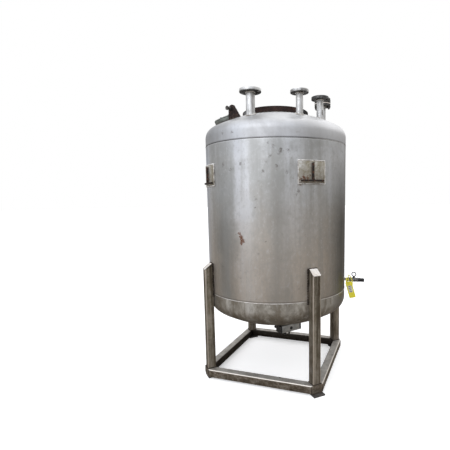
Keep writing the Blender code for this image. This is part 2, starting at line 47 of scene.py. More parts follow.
# Angles round the tank are in degrees: 0 is the front leg at -Y, and they grow towards +X.
hair = 0.0003
shellLow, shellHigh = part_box("shell")
tankRadius = shellHigh.x
topSeam = shellHigh.z
bottomSeam = shellLow.z


def outward(angle):
    turn = math.radians(angle)
    return Vector((math.sin(turn), -math.cos(turn), 0.0))


def turned(angle):
    return Matrix.Rotation(math.radians(angle), 4, "Z")


def movedTo(x, y, z):
    return Matrix.Translation((x, y, z))


def middle(node):
    low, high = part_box(node)
    return (low + high) / 2


def roundNode(node):
    # The centre, radius, foot and top of an upright round node
    low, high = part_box(node)
    return middle(node), (high.x - low.x) / 2, low.z, high.z


# Camera at the place the photo was taken from, left of the front leg
view = {
    "place": (-1.2314, -2.5098, 1.3225),
    "heading": -26.129,
    "pitch": -6.085,
    "roll": -0.654,
    "sensor": 36.0,
    "lens": 28.20,
    "shiftX": -0.1149,
    "shiftY": 0.0253,
}


def makeCamera():
    data = bpy.data.cameras.new("photoCamera")
    data.sensor_width = view["sensor"]
    data.lens = view["lens"]
    data.shift_x = view["shiftX"]
    data.shift_y = view["shiftY"]
    data.clip_end = 200.0
    camera = bpy.data.objects.new("photoCamera", data)
    bpy.context.scene.collection.objects.link(camera)
    tilt = Matrix.Rotation(math.radians(90.0 + view["pitch"]), 4, "X")
    roll = Matrix.Rotation(math.radians(view["roll"]), 4, "Z")
    camera.matrix_world = movedTo(*view["place"]) @ turned(view["heading"]) @ tilt @ roll
    bpy.context.scene.camera = camera


# Node helpers for the materials
def feed(tree, socket, value):
    if isinstance(value, bpy.types.NodeSocket):
        tree.links.new(value, socket)
    elif hasattr(value, "__len__") and len(value) == 3 and socket.type == "RGBA":
        socket.default_value = (*value, 1.0)
    else:
        socket.default_value = value


def addNode(tree, kind, inputs=None, **settings):
    made = tree.nodes.new("ShaderNode" + kind)
    for name, value in settings.items():
        setattr(made, name, value)
    for name, value in (inputs or {}).items():
        feed(tree, made.inputs[name], value)
    return made


def calc(tree, operation, first, second=0.0):
    return addNode(tree, "Math", {0: first, 1: second}, operation=operation).outputs[0]


def times(tree, first, second):
    return calc(tree, "MULTIPLY", first, second)


def vectorCalc(tree, operation, first, second, output="Vector"):
    made = addNode(tree, "VectorMath", {0: first, 1: second}, operation=operation)
    return made.outputs[output]


def limits(tree, value, fromLow, fromHigh, toLow=0.0, toHigh=1.0):
    spread = {"Value": value, "From Min": fromLow, "From Max": fromHigh, "To Min": toLow, "To Max": toHigh}
    return addNode(tree, "MapRange", spread).outputs["Result"]


def noiseOn(tree, place, scale, detail=4.0, roughness=0.55, distortion=0.0):
    grain = {"Scale": scale, "Detail": detail, "Roughness": roughness, "Distortion": distortion}
    return addNode(tree, "TexNoise", {"Vector": place, **grain}).outputs["Fac"]


def stretched(tree, place, scale):
    return addNode(tree, "Mapping", {"Vector": place, "Scale": scale}).outputs["Vector"]


def blended(tree, factor, first, second, kind="MIX"):
    made = addNode(tree, "Mix", data_type="RGBA", blend_type=kind)
    feed(tree, made.inputs[0], factor)
    feed(tree, made.inputs[6], first)
    feed(tree, made.inputs[7], second)
    return made.outputs[2]


def ramped(tree, value, stops):
    made = addNode(tree, "ValToRGB", {"Fac": value})
    elements = made.color_ramp.elements
    elements.remove(elements[1])
    elements[0].position = stops[0][0]
    elements[0].color = (*stops[0][1], 1.0)
    for position, colour in stops[1:]:
        elements.new(position).color = (*colour, 1.0)
    return made.outputs["Color"]


def bumped(tree, height, distance, strength=1.0, before=None):
    inputs = {"Height": height, "Distance": distance, "Strength": strength}
    if before is not None:
        inputs["Normal"] = before
    return addNode(tree, "Bump", inputs).outputs["Normal"]


def newMaterial(name):
    material = bpy.data.materials.new(name)
    material.use_nodes = True
    tree = material.node_tree
    return material, tree, addNode(tree, "TexCoord").outputs["Object"]


def setShader(tree, colour, rough, metallic, normal):
    inputs = {"Base Color": colour, "Roughness": rough, "Metallic": metallic, "Normal": normal}
    for name, value in inputs.items():
        feed(tree, tree.nodes["Principled BSDF"].inputs[name], value)


def tinted(tree, colour, tone, value, start, end, strength=1.0):
    # Blends a tone in as a value goes from start to end
    return blended(tree, limits(tree, value, start, end, 0.0, strength), colour, tone)


def wobble(tree, value, size):
    # Noise turned into a small shift to both sides of nothing
    return times(tree, calc(tree, "SUBTRACT", value, 0.5), size)


def turnRound(tree, across):
    # The angle round the tank, as outward() counts it, in radians
    return calc(tree, "ARCTAN2", across["X"], times(tree, across["Y"], -1.0))


def nearAngle(tree, turn, angle, width, core, strength):
    # A mask that fades out from an upright line, full within a share of its width
    off = calc(tree, "ABSOLUTE", calc(tree, "SUBTRACT", turn, math.radians(angle)))
    return limits(tree, off, math.radians(width), math.radians(width * core), 0.0, strength)


def between(tree, up, low, high, edge, strength=1.0):
    # A mask for heights from low to high, with soft edges
    rise = limits(tree, up, low, low + edge, 0.0, strength)
    return times(tree, rise, limits(tree, up, high - edge, high, 1.0, 0.0))


def broken(tree, place, scale, detail):
    return limits(tree, noiseOn(tree, place, scale, detail, 0.6), 0.35, 0.6, 0.55, 1.0)


def twoToned(tree, value, edges, colour, look, strength):
    # Dulls the colour where the noise is high and lifts it where it is low
    dull, dullest, pale, palest = edges
    colour = tinted(tree, colour, look["dull"], value, dull, dullest, strength)
    return tinted(tree, colour, look["pale"], value, pale, palest, strength)


def spotMask(tree, place, spots, ragged):
    # Soft ragged blots at named places: each is (angle, reach, height, size, strength)
    fine = {"Vector": place, "Scale": 75.0, "Detail": 4.0, "Roughness": 0.65}
    shift = vectorCalc(tree, "SUBTRACT", addNode(tree, "TexNoise", fine).outputs["Color"], (0.5, 0.5, 0.5))
    shift = vectorCalc(tree, "MULTIPLY", shift, (0.045 * ragged, 0.045 * ragged, 0.07 * ragged))
    bent = vectorCalc(tree, "ADD", place, shift)
    mask = None
    for angle, reach, height, size, strength in spots:
        centre = outward(angle) * reach
        centre.z = height
        away = vectorCalc(tree, "DISTANCE", bent, tuple(centre), output="Value")
        blot = limits(tree, away, size * 0.6, size, strength, 0.0)
        mask = blot if mask is None else calc(tree, "MAXIMUM", mask, blot)
    return mask


def wornColour(tree, place, look, cloud, speck, runs, up):
    # Cloudy metal, then a tone that gathers low down, runs, fine mottling and specks
    tones = [(0.0, look["dull"]), (0.55, look["body"]), (1.0, look["pale"])]
    colour = ramped(tree, limits(tree, cloud, 0.30, 0.70), tones)
    if look["broadRuns"]:
        wide = noiseOn(tree, stretched(tree, place, look["broadStretch"]), 1.0, 3.0, 0.5)
        colour = twoToned(tree, wide, (0.46, 0.62, 0.44, 0.34), colour, look, look["broadRuns"])
    low = calc(tree, "ADD", up, wobble(tree, cloud, look["lowToneWander"]))
    edges = (look["lowToneTop"], look["lowToneBottom"])
    colour = tinted(tree, colour, look["lowToneColour"], low, *edges, look["lowTone"])
    colour = tinted(tree, colour, look["runColour"], runs, 0.50, 0.72, look["runs"])
    colour = tinted(tree, colour, look["pale"], runs, 0.46, 0.28, look["runs"] * 0.5)
    patches = noiseOn(tree, stretched(tree, place, look["mottleStretch"]), 1.0, 6.0, 0.72)
    colour = twoToned(tree, patches, (0.50, 0.66, 0.46, 0.32), colour, look, look["mottle"])
    return tinted(tree, colour, look["speckColour"], speck, 0.64, 0.74, look["specks"])


def paintLightStrips(tree, paintedLightStrips, colour, cloud, across):
    # Painted reflections and shade as broad upright bands: each is (angle, width, starts at, full at, tone,
    # strength)
    wander = wobble(tree, cloud, 0.35)
    turn = calc(tree, "ADD", turnRound(tree, across), wander)
    for angle, width, start, full, tone, strength in paintedLightStrips:
        mask = nearAngle(tree, turn, angle, width, 0.2, strength)
        mask = times(tree, mask, limits(tree, across["Z"], start, full))
        colour = blended(tree, mask, colour, tone)
    return colour


def paintDiagonalLight(tree, diagonalLight, colour, speck, across):
    # Painted light and shade that follow the distance |x| + |y|, as the square frame and the legs do
    reach = calc(tree, "ADD", calc(tree, "ABSOLUTE", across["X"]), calc(tree, "ABSOLUTE", across["Y"]))
    reach = calc(tree, "ADD", reach, wobble(tree, speck, 0.006))
    for start, end, tone, strength, lowest in diagonalLight:
        mask = limits(tree, reach, start, end, 0.0, strength)
        mask = times(tree, mask, limits(tree, across["Z"], lowest, lowest + 0.005))
        colour = blended(tree, mask, colour, tone)
    return colour


# Stainless steel with cloudy stains, vertical runs, a tone that gathers low down, and painted light and shade
# where a look asks for it
def steelMaterial(name, look):
    material, tree, place = newMaterial(name)
    across = addNode(tree, "SeparateXYZ", {"Vector": place}).outputs
    up = across["Z"]
    lid = addNode(tree, "SeparateXYZ", {"Vector": addNode(tree, "TexCoord").outputs["Normal"]}).outputs["Z"]
    cloud = noiseOn(tree, place, look["cloudScale"], 5.0, 0.62, 0.6)
    runs = noiseOn(tree, stretched(tree, place, look["runStretch"]), 1.0, 4.0, 0.6)
    grain = noiseOn(tree, stretched(tree, place, look["grainStretch"]), 1.0, 3.0, 0.7)
    speck = noiseOn(tree, place, look["speckScale"], 3.0, 0.7)
    colour = wornColour(tree, place, look, cloud, speck, runs, up)
    rough = limits(tree, cloud, 0.3, 0.7, look["rough"] + 0.08, look["rough"] - 0.06)
    stained = limits(tree, runs, 0.50, 0.72, 0.0, look["runs"])
    rough = calc(tree, "ADD", rough, times(tree, stained, 0.18))
    # Painted reflections and shade in broad upright bands
    if "paintedLightStrips" in look:
        colour = paintLightStrips(tree, look["paintedLightStrips"], colour, cloud, across)
    # Real smudges, the painted shade of a slot, and rust spots, at named places
    for kind in ("smudgesAndShade", "rustSpots"):
        if look.get(kind):
            mask = spotMask(tree, place, look[kind], look["ragged"])
            mask = times(tree, mask, broken(tree, place, 120.0, 2.0))
            colour = blended(tree, mask, colour, look[kind + "Colour"])
            rough = calc(tree, "ADD", rough, times(tree, mask, 0.3))
    for low, high, tone, strength in look.get("bands", []):
        colour = blended(tree, between(tree, up, low, high, (high - low) * 0.3, strength), colour, tone)
    # Painted shade on faces that look down
    if "undersideShade" in look:
        under = times(tree, limits(tree, lid, -0.5, -0.85), broken(tree, place, 70.0, 3.0))
        colour = blended(tree, under, colour, look["undersideShade"])
    if "topDust" in look:
        dust = times(tree, limits(tree, lid, 0.6, 0.95), limits(tree, cloud, 0.25, 0.6, 0.5, 1.0))
        colour = blended(tree, times(tree, dust, look["topDust"]), colour, look["dustColour"])
        rough = calc(tree, "ADD", rough, times(tree, dust, 0.2))
    # Painted highlights and shade by the distance |x| + |y|
    if "diagonalLight" in look:
        colour = paintDiagonalLight(tree, look["diagonalLight"], colour, speck, across)
    dents = bumped(tree, noiseOn(tree, place, 2.6, 2.0, 0.5), look["dent"])
    fine = bumped(tree, grain, look["grainDepth"], 0.5, dents)
    setShader(tree, colour, rough, look["metallic"], bumped(tree, speck, 0.0004, 0.4, fine))
    return material


vesselLook = dict(
    pale=(0.70, 0.71, 0.73),
    body=(0.60, 0.605, 0.605),
    dull=(0.40, 0.40, 0.385),
    cloudScale=3.2,
    runStretch=(13.0, 13.0, 0.55),
    grainStretch=(160.0, 160.0, 5.0),
    grainDepth=0.0003,
    speckScale=26.0,
    # Browner low down: partly stains, partly a painted reflection of the ground
    lowTone=0.75,
    lowToneTop=1.40,
    lowToneBottom=0.85,
    lowToneWander=0.55,
    lowToneColour=(0.57, 0.495, 0.41),
    mottle=0.45,
    mottleStretch=(52.0, 52.0, 34.0),
    runs=0.60,
    runColour=(0.37, 0.35, 0.32),
    broadRuns=0.80,
    broadStretch=(9.0, 9.0, 0.40),
    specks=0.60,
    speckColour=(0.30, 0.28, 0.25),
    rough=0.42,
    metallic=0.85,
    dent=0.010,
    ragged=1.0,
    smudgesAndShadeColour=(0.17, 0.15, 0.135),
    rustSpotsColour=(0.19, 0.075, 0.032),
)
# Marks on the shell: angle, height, size and strength
shellSmudges = [
    (-31.5, 1.675, 0.011, 0.6),
    (-22.6, 1.629, 0.014, 0.75),
    (-24.0, 1.610, 0.010, 0.6),
    (-17.6, 1.626, 0.011, 0.6),
    (-29.9, 1.591, 0.012, 0.5),
    (-27.5, 1.655, 0.012, 0.5),
    (-25.5, 1.531, 0.014, 0.7),
    (-35.2, 1.495, 0.011, 0.6),
    (-18.5, 1.490, 0.010, 0.5),
    (-40.6, 1.323, 0.011, 0.6),
    (-41.1, 1.269, 0.011, 0.6),
    (-51.6, 1.555, 0.014, 0.55),
    (-60.0, 1.520, 0.012, 0.45),
    (-68.0, 1.557, 0.014, 0.5),
    (-34.1, 1.045, 0.007, 0.8),
    (-10.5, 1.372, 0.013, 0.6),
    (-12.6, 1.352, 0.011, 0.5),
    (35.4, 1.648, 0.012, 0.6),
]
shellRust = [
    (-53.6, 1.098, 0.014, 0.9),
    (-52.2, 1.072, 0.021, 1.0),
    (-51.4, 1.050, 0.020, 1.0),
    (-52.4, 1.030, 0.016, 1.0),
    (-9.5, 1.412, 0.014, 0.5),
    (-98.0, 1.405, 0.030, 0.5),
    (82.0, 1.405, 0.030, 0.5),
    (174.0, 1.405, 0.032, 0.5),
]
# Painted reflections and shade on the shell, as upright bands: angle, width, start height, full height, tone
# and strength
shellPaintedLight = [
    (-104.0, 18.0, 1.80, 1.60, (0.58, 0.66, 0.82), 0.50),
    (-98.0, 12.0, 1.35, 1.15, (0.80, 0.81, 0.79), 0.25),
    (-66.0, 13.5, 1.58, 1.12, (0.26, 0.27, 0.265), 0.62),
    (-47.0, 9.0, 1.66, 1.40, (0.84, 0.84, 0.83), 0.18),
    (-26.0, 12.0, 1.66, 1.45, (0.30, 0.295, 0.275), 0.42),
    (41.0, 32.0, 1.60, 1.15, (0.09, 0.093, 0.085), 0.88),
    (128.0, 30.0, 1.60, 1.10, (0.20, 0.20, 0.19), 0.50),
    (-150.0, 22.0, 1.60, 1.20, (0.30, 0.30, 0.29), 0.45),
]
# Marks on the top head: angle, reach, height, size and strength
headSmudges = [
    (-67.8, 0.525, 1.762, 0.015, 0.55),
    (-58.1, 0.525, 1.759, 0.016, 0.65),
    (-10.7, 0.525, 1.775, 0.010, 0.4),
    (60.0, 0.50, 1.80, 0.030, 0.4),
    (150.0, 0.51, 1.78, 0.030, 0.5),
]


def onShell(marks):
    return [(angle, 0.533, height, size, strength) for angle, height, size, strength in marks]


def headLooks():
    top = dict(
        vesselLook, smudgesAndShade=headSmudges, lowTone=0.0, runs=0.3, specks=0.4, broadRuns=0.35,
        mottle=0.3, rough=0.46,
        pale=(0.63, 0.64, 0.66), body=(0.545, 0.55, 0.56), dull=(0.42, 0.42, 0.42),
        # Painted sky reflection makes the crown pale towards its right, and painted shade darkens its left
        # side
        paintedLightStrips=[
            (30.0, 75.0, 1.70, 1.80, (0.80, 0.80, 0.81), 0.75),
            (-88.0, 30.0, 1.66, 1.76, (0.32, 0.33, 0.345), 0.42),
        ],
        bands=[
            (topSeam + 0.001, topSeam + 0.009, (0.22, 0.22, 0.22), 0.7),
            (topSeam - 0.030, topSeam + 0.085, (0.30, 0.305, 0.31), 0.15),
        ],
    )
    bottom = dict(
        vesselLook, cloudScale=9.0, specks=0.9, mottle=0.6, mottleStretch=(34.0, 34.0, 16.0),
        lowTone=0.9, lowToneTop=0.575, lowToneBottom=0.47, lowToneWander=0.14, lowToneColour=(0.185, 0.145, 0.10),
        pale=(0.80, 0.79, 0.75), body=(0.60, 0.58, 0.53), dull=(0.25, 0.22, 0.175),
        # Painted shade: darker upright bands on the bottom head's left and right sides
        paintedLightStrips=[
            (-100.0, 26.0, 0.70, 0.60, (0.22, 0.215, 0.205), 0.40),
            (38.0, 26.0, 0.70, 0.60, (0.20, 0.195, 0.18), 0.55),
        ],
    )
    return {"topHeadSteel": top, "bottomHeadSteel": bottom}


def shellLooks():
    shell = dict(
        vesselLook, smudgesAndShade=onShell(shellSmudges), rustSpots=onShell(shellRust), paintedLightStrips=shellPaintedLight,
        bands=[
            # Painted highlight: a pale line just below the top seam
            (topSeam - 0.010, topSeam - 0.002, (0.75, 0.75, 0.75), 0.4),
            (topSeam - 0.120, topSeam + 0.060, (0.33, 0.34, 0.35), 0.18),
            (bottomSeam + 0.003, bottomSeam + 0.014, (0.20, 0.18, 0.155), 0.55),
        ],
    )
    low, high = bracket["low"], bracket["high"]
    pad = dict(
        vesselLook, lowTone=0.0, dent=0.001, cloudScale=26.0, rustSpots=bracketRust(),
        specks=0.9, speckScale=75.0,
        pale=(0.78, 0.77, 0.73), body=(0.62, 0.60, 0.55), dull=(0.34, 0.30, 0.215),
        speckColour=(0.14, 0.10, 0.055), mottle=0.6, mottleStretch=(60.0, 60.0, 60.0),
        bands=[
            (high - 0.0045, high + 0.004, (0.06, 0.055, 0.05), 0.9),
            (low + 0.002, low + 0.008, (0.10, 0.09, 0.08), 0.8),
        ],
    )
    return {"vesselShellSteel": shell, "bracketSteel": pad}


def nozzleLooks():
    # The third nozzle's pipe has a dark slot, painted on as shade rather than cut
    slot = [(35.4, 0.384, height, 0.0085, 0.9) for height in (1.946, 1.935, 1.924)]
    pipe = dict(
        vesselLook, lowTone=0.0, runs=0.7, runColour=(0.26, 0.245, 0.23), runStretch=(42.0, 42.0, 4.0),
        cloudScale=9.0, broadRuns=0.0, rough=0.45, dent=0.001, ragged=0.25, smudgesAndShade=slot,
        pale=(0.82, 0.82, 0.82), body=(0.70, 0.70, 0.69), dull=(0.46, 0.45, 0.43),
    )
    rim = dict(
        # Painted shade under the flanges
        pipe, smudgesAndShade=[], undersideShade=(0.060, 0.058, 0.056), cloudScale=30.0, mottleStretch=(70.0, 70.0, 70.0),
        runs=0.2, pale=(0.66, 0.66, 0.65), body=(0.40, 0.395, 0.385), dull=(0.15, 0.145, 0.14),
        # Painted highlight: a pale band round the flanges' rims
        bands=[(2.036, 2.062, (0.86, 0.86, 0.85), 0.75)],
    )
    # Painted shade: a dark copy of the flange finish, for the third and fourth nozzles' flanges
    dark = dict(
        rim, metallic=0.6, bands=[],
        pale=(0.22, 0.22, 0.22), body=(0.085, 0.083, 0.08), dull=(0.03, 0.03, 0.03),
    )
    hatch = dict(
        pipe, cloudScale=24.0, metallic=0.75, rough=0.5,
        pale=(0.36, 0.385, 0.355), body=(0.24, 0.26, 0.235), dull=(0.11, 0.12, 0.108),
    )
    return {"nozzleSteel": pipe, "flangeSteel": rim, "shadedFlangeSteel": dark, "handHoleSteel": hatch}


standLook = dict(
    vesselLook,
    pale=(0.62, 0.575, 0.505),
    body=(0.375, 0.335, 0.265),
    dull=(0.092, 0.075, 0.050),
    cloudScale=6.0,
    runStretch=(62.0, 62.0, 1.6),
    mottleStretch=(90.0, 90.0, 14.0),
    grainStretch=(260.0, 260.0, 9.0),
    speckScale=60.0,
    lowTone=0.6,
    lowToneTop=0.35,
    lowToneBottom=0.0,
    lowToneWander=0.2,
    lowToneColour=(0.16, 0.125, 0.095),
    runs=0.85,
    runColour=(0.10, 0.078, 0.055),
    specks=0.5,
    speckColour=(0.10, 0.08, 0.06),
    rough=0.44,
    dent=0.001,
    broadStretch=(34.0, 34.0, 0.7),
)


def standLooks():
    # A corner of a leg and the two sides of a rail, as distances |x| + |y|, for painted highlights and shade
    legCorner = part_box("leg_front")[1].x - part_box("leg_front")[0].y
    railInner = math.sqrt(2) * (stand["railReach"] - stand["railWidth"])
    railOuter = math.sqrt(2) * stand["railReach"]
    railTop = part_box("base_rail_front_left")[1].z
    # Painted highlight along the legs' outer corners
    leg = dict(standLook, diagonalLight=[(legCorner - 0.009, legCorner - 0.004, (0.84, 0.76, 0.66), 0.65, 0.0)])
    rail = dict(
        standLook, runs=0.6, runStretch=(9.0, 9.0, 40.0), grainStretch=(12.0, 12.0, 300.0), broadRuns=0.0,
        lowTone=0.25, topDust=0.85, dustColour=(0.52, 0.505, 0.48), body=(0.27, 0.225, 0.175), cloudScale=17.0,
        mottle=0.6, mottleStretch=(40.0, 40.0, 60.0),
        # Painted shade on the rails' inner sides, and a painted highlight along their outer top edges
        diagonalLight=[
            (railInner + 0.008, railInner + 0.002, (0.030, 0.024, 0.020), 0.9, 0.0),
            (railOuter - 0.010, railOuter - 0.003, (0.92, 0.87, 0.80), 0.9, railTop - 0.009),
        ],
    )
    cap = dict(
        vesselLook, lowTone=0.0, runs=0.3, dent=0.0005, rough=0.38, metallic=0.3, cloudScale=22.0, mottle=0.3,
        pale=(0.96, 0.94, 0.91), body=(0.90, 0.86, 0.81), dull=(0.66, 0.58, 0.50),
    )
    return {"legSteel": leg, "railSteel": rail, "legCapSteel": cap}


# Rust that has eaten into bare carbon steel
def rustMaterial(name, look):
    material, tree, place = newMaterial(name)
    across = addNode(tree, "SeparateXYZ", {"Vector": place}).outputs
    broad = noiseOn(tree, place, look["broad"], 5.0, 0.65, 0.4)
    fine = noiseOn(tree, place, look["fine"], 5.0, 0.7)
    tones = [(0.0, look["dark"]), (0.5, look["body"]), (1.0, look["bright"])]
    colour = ramped(tree, limits(tree, broad, 0.3, 0.7), tones)
    colour = tinted(tree, colour, look["dark"], fine, 0.5, 0.7, 0.6)
    # Patches at angles round the tank: each is (angle, width, tone, strength), painted shade among them
    for angle, width, tone, strength in look.get("around", []):
        patch = nearAngle(tree, turnRound(tree, across), angle, width, 0.5, strength)
        colour = blended(tree, patch, colour, tone)
    for low, high in look.get("lines", []):
        line = times(tree, between(tree, across["Z"], low, high, 0.001), 0.85)
        colour = blended(tree, line, colour, look["dark"])
    rough = limits(tree, fine, 0.3, 0.7, 0.95, 0.70)
    scale = bumped(tree, broad, look["depth"])
    setShader(tree, colour, rough, look["metallic"], bumped(tree, fine, look["depth"] * 0.4, 1.0, scale))
    return material


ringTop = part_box("mixer_ring")[1].z
rustLooks = {
    "ringRust": dict(
        dark=(0.014, 0.008, 0.007), body=(0.046, 0.022, 0.017), bright=(0.095, 0.045, 0.031),
        broad=14.0, fine=130.0, depth=0.0012, metallic=0.15,
        lines=[(ringTop - 0.005, ringTop + 0.002), (ringTop - 0.060, ringTop - 0.0345)],
        # A grey patch on the ring's left end, and painted shade, near black, on its right side
        around=[(-84.0, 16.0, (0.20, 0.20, 0.20), 0.85), (34.0, 22.0, (0.02, 0.02, 0.022), 0.9)],
    ),
    "stubRust": dict(
        dark=(0.008, 0.005, 0.005), body=(0.020, 0.010, 0.008), bright=(0.085, 0.050, 0.036),
        broad=70.0, fine=260.0, depth=0.0015, metallic=0.1,
    ),
    "barRust": dict(
        dark=(0.008, 0.007, 0.007), body=(0.024, 0.016, 0.012), bright=(0.15, 0.060, 0.028),
        broad=60.0, fine=240.0, depth=0.0015, metallic=0.1,
    ),
}


# Plain finishes with a mottled tone: paint, moulded plastic, cast aluminium, dark steel
def plainMaterial(name, look):
    material, tree, place = newMaterial(name)
    broad = noiseOn(tree, place, look["broad"], 4.0, 0.6)
    fine = noiseOn(tree, place, look["fine"], 3.0, 0.6)
    colour = ramped(tree, limits(tree, broad, 0.3, 0.7), [(0.0, look["dark"]), (1.0, look["bright"])])
    colour = tinted(tree, colour, look["worn"], fine, 0.55, 0.72, look["wear"])
    rough = limits(tree, broad, 0.3, 0.7, look["rough"] + 0.1, look["rough"] - 0.08)
    setShader(tree, colour, rough, look["metallic"], bumped(tree, fine, look["depth"]))
    return material


plainLooks = {
    "blackPaint": dict(
        dark=(0.012, 0.012, 0.013), bright=(0.030, 0.029, 0.028), worn=(0.10, 0.095, 0.09),
        broad=20.0, fine=180.0, wear=0.35, rough=0.5, metallic=0.0, depth=0.0002,
    ),
    "aluminium": dict(
        dark=(0.40, 0.41, 0.41), bright=(0.58, 0.59, 0.58), worn=(0.26, 0.25, 0.24),
        broad=26.0, fine=220.0, wear=0.4, rough=0.45, metallic=0.85, depth=0.0002,
    ),
    "darkSteel": dict(
        dark=(0.05, 0.048, 0.046), bright=(0.17, 0.16, 0.15), worn=(0.11, 0.06, 0.04),
        broad=30.0, fine=240.0, wear=0.5, rough=0.5, metallic=0.7, depth=0.0003,
    ),
    "speckledSteel": dict(
        dark=(0.02, 0.02, 0.02), bright=(0.40, 0.39, 0.37), worn=(0.035, 0.03, 0.03),
        broad=75.0, fine=260.0, wear=0.6, rough=0.42, metallic=0.7, depth=0.0003,
    ),
    "brightSteel": dict(
        dark=(0.50, 0.49, 0.47), bright=(0.72, 0.71, 0.69), worn=(0.28, 0.24, 0.20),
        broad=30.0, fine=240.0, wear=0.4, rough=0.36, metallic=0.95, depth=0.0002,
    ),
    "tagYellow": dict(
        dark=(0.95, 0.82, 0.04), bright=(1.0, 0.95, 0.10), worn=(0.70, 0.60, 0.10),
        broad=30.0, fine=200.0, wear=0.35, rough=0.5, metallic=0.0, depth=0.0001,
    ),
    "tagPaper": dict(
        dark=(0.70, 0.68, 0.50), bright=(0.85, 0.83, 0.70), worn=(0.50, 0.46, 0.30),
        broad=60.0, fine=300.0, wear=0.4, rough=0.6, metallic=0.0, depth=0.0001,
    ),
    "inkGrey": dict(
        dark=(0.07, 0.05, 0.12), bright=(0.16, 0.13, 0.24), worn=(0.34, 0.30, 0.36),
        broad=80.0, fine=400.0, wear=0.5, rough=0.6, metallic=0.0, depth=0.0001,
    ),
}


# Weld beads with straw and blue-black heat tint along them
def weldMaterial(name, look):
    material, tree, place = newMaterial(name)
    along = noiseOn(tree, place, 22.0, 3.0, 0.6)
    soot = noiseOn(tree, place, 90.0, 3.0, 0.6)
    tones = [(0.0, look["burnt"]), (0.5, look["straw"]), (1.0, look["bright"])]
    colour = ramped(tree, limits(tree, along, 0.3, 0.7), tones)
    colour = tinted(tree, colour, look["burnt"], soot, 0.5, 0.68, look["soot"])
    if "darkUpTo" in look:
        across = addNode(tree, "SeparateXYZ", {"Vector": place}).outputs
        edge = math.radians(look["darkUpTo"])
        turn = turnRound(tree, across)
        colour = tinted(tree, colour, (0.05, 0.048, 0.045), turn, edge, edge - 0.2, 0.9)
    setShader(tree, colour, limits(tree, soot, 0.3, 0.7, 0.38, 0.62), 0.9, bumped(tree, soot, 0.0004))
    return material


weldLooks = {
    "brightWeld": dict(
        burnt=(0.34, 0.31, 0.28), straw=(0.62, 0.59, 0.54), bright=(0.82, 0.81, 0.79), soot=0.3,
    ),
    "topSeam": dict(
        burnt=(0.20, 0.19, 0.175), straw=(0.44, 0.43, 0.41), bright=(0.66, 0.65, 0.64), soot=0.4,
        darkUpTo=12.0,
    ),
    "bottomSeam": dict(
        burnt=(0.44, 0.41, 0.38), straw=(0.74, 0.72, 0.69), bright=(0.90, 0.89, 0.87), soot=0.2,
    ),
    "darkWeld": dict(
        burnt=(0.028, 0.023, 0.019), straw=(0.075, 0.060, 0.046), bright=(0.22, 0.185, 0.15), soot=0.8,
    ),
    "padWeld": dict(
        burnt=(0.30, 0.27, 0.23), straw=(0.88, 0.86, 0.83), bright=(0.97, 0.96, 0.95), soot=0.45,
    ),
}


# Making and placing pieces
plateEdge = 0.0012
castEdge = 0.0010
barEdge = 0.0008
smallEdge = 0.0006
screwEdge = 0.0005
fineEdge = 0.0004
holeSides = 24
overshoot = 0.01
sharpFrom = math.radians(35.0)
meetingGap = 0.000002
seamGap = 0.00001
flatWithin = math.radians(1.0)
lying = Matrix.Rotation(math.pi / 2, 4, "X")
flipped = Matrix.Rotation(math.pi, 4, "X")


def cleaned(bm):
    bmesh.ops.remove_doubles(bm, verts=bm.verts, dist=meetingGap)
    bmesh.ops.recalc_face_normals(bm, faces=bm.faces)


def bevelled(bm, edges, width, segments=4):
    bmesh.ops.bevel(
        bm, geom=edges, offset=width, offset_type="OFFSET", segments=segments, profile=0.5,
        affect="EDGES", material=-1, clamp_overlap=True,
    )


def sliced(bm, point, normal, clear=False):
    bmesh.ops.bisect_plane(
        bm, geom=list(bm.verts) + list(bm.edges) + list(bm.faces),
        plane_co=point, plane_no=normal, clear_outer=clear,
    )


def swept(bm, geom, steps, angle=2 * math.pi, merge=True):
    bmesh.ops.spin(
        bm, geom=geom, axis=(0.0, 0.0, 1.0), cent=(0.0, 0.0, 0.0),
        angle=angle, steps=steps, use_merge=merge,
    )


def moveAll(bm, place):
    bmesh.ops.transform(bm, matrix=place, verts=bm.verts)


def closeHoles(bm, sides=0):
    bmesh.ops.holes_fill(bm, edges=[edge for edge in bm.edges if edge.is_boundary], sides=sides)


def edgesAlong(bm, axis, length):
    # The edges that run further than a length along one axis
    return [edge for edge in bm.edges if abs(edge.verts[0].co[axis] - edge.verts[1].co[axis]) > length]


# A finished piece, with its finish, its slot, which is not used, and the CAD nodes that it replaces
def addPiece(name, bm, finish, slot, *replaced, body="tank"):
    cleaned(bm)
    mesh = bpy.data.meshes.new(name)
    bm.to_mesh(mesh)
    bm.free()
    mesh.shade_smooth()
    mesh.set_sharp_from_angle(angle=sharpFrom)
    mesh.materials.append(finishes[finish])
    piece = bpy.data.objects.new(name, mesh)
    bpy.context.scene.collection.objects.link(piece)
    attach(piece, body)
    if replaced:
        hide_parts(*replaced)
    return piece


def spun(profile, steps, closed=True, place=None, into=None):
    # The (radius, height) points of a profile, spun round Z
    bm = into or bmesh.new()
    verts = [bm.verts.new((radius, 0.0, height)) for radius, height in profile]
    edges = [bm.edges.new(pair) for pair in zip(verts, verts[1:])]
    if closed:
        edges.append(bm.edges.new((verts[-1], verts[0])))
    before = set(bm.verts) - set(verts)
    swept(bm, verts + edges, steps)
    if place is not None:
        bmesh.ops.transform(bm, matrix=place, verts=[vert for vert in bm.verts if vert not in before])
    return bm


def softEdges(bm, width, segments=2, angle=30.0):
    cleaned(bm)
    sharp = [edge for edge in bm.edges if edge.is_manifold and edge.calc_face_angle() > math.radians(angle)]
    bevelled(bm, sharp, width, segments)
    return bm


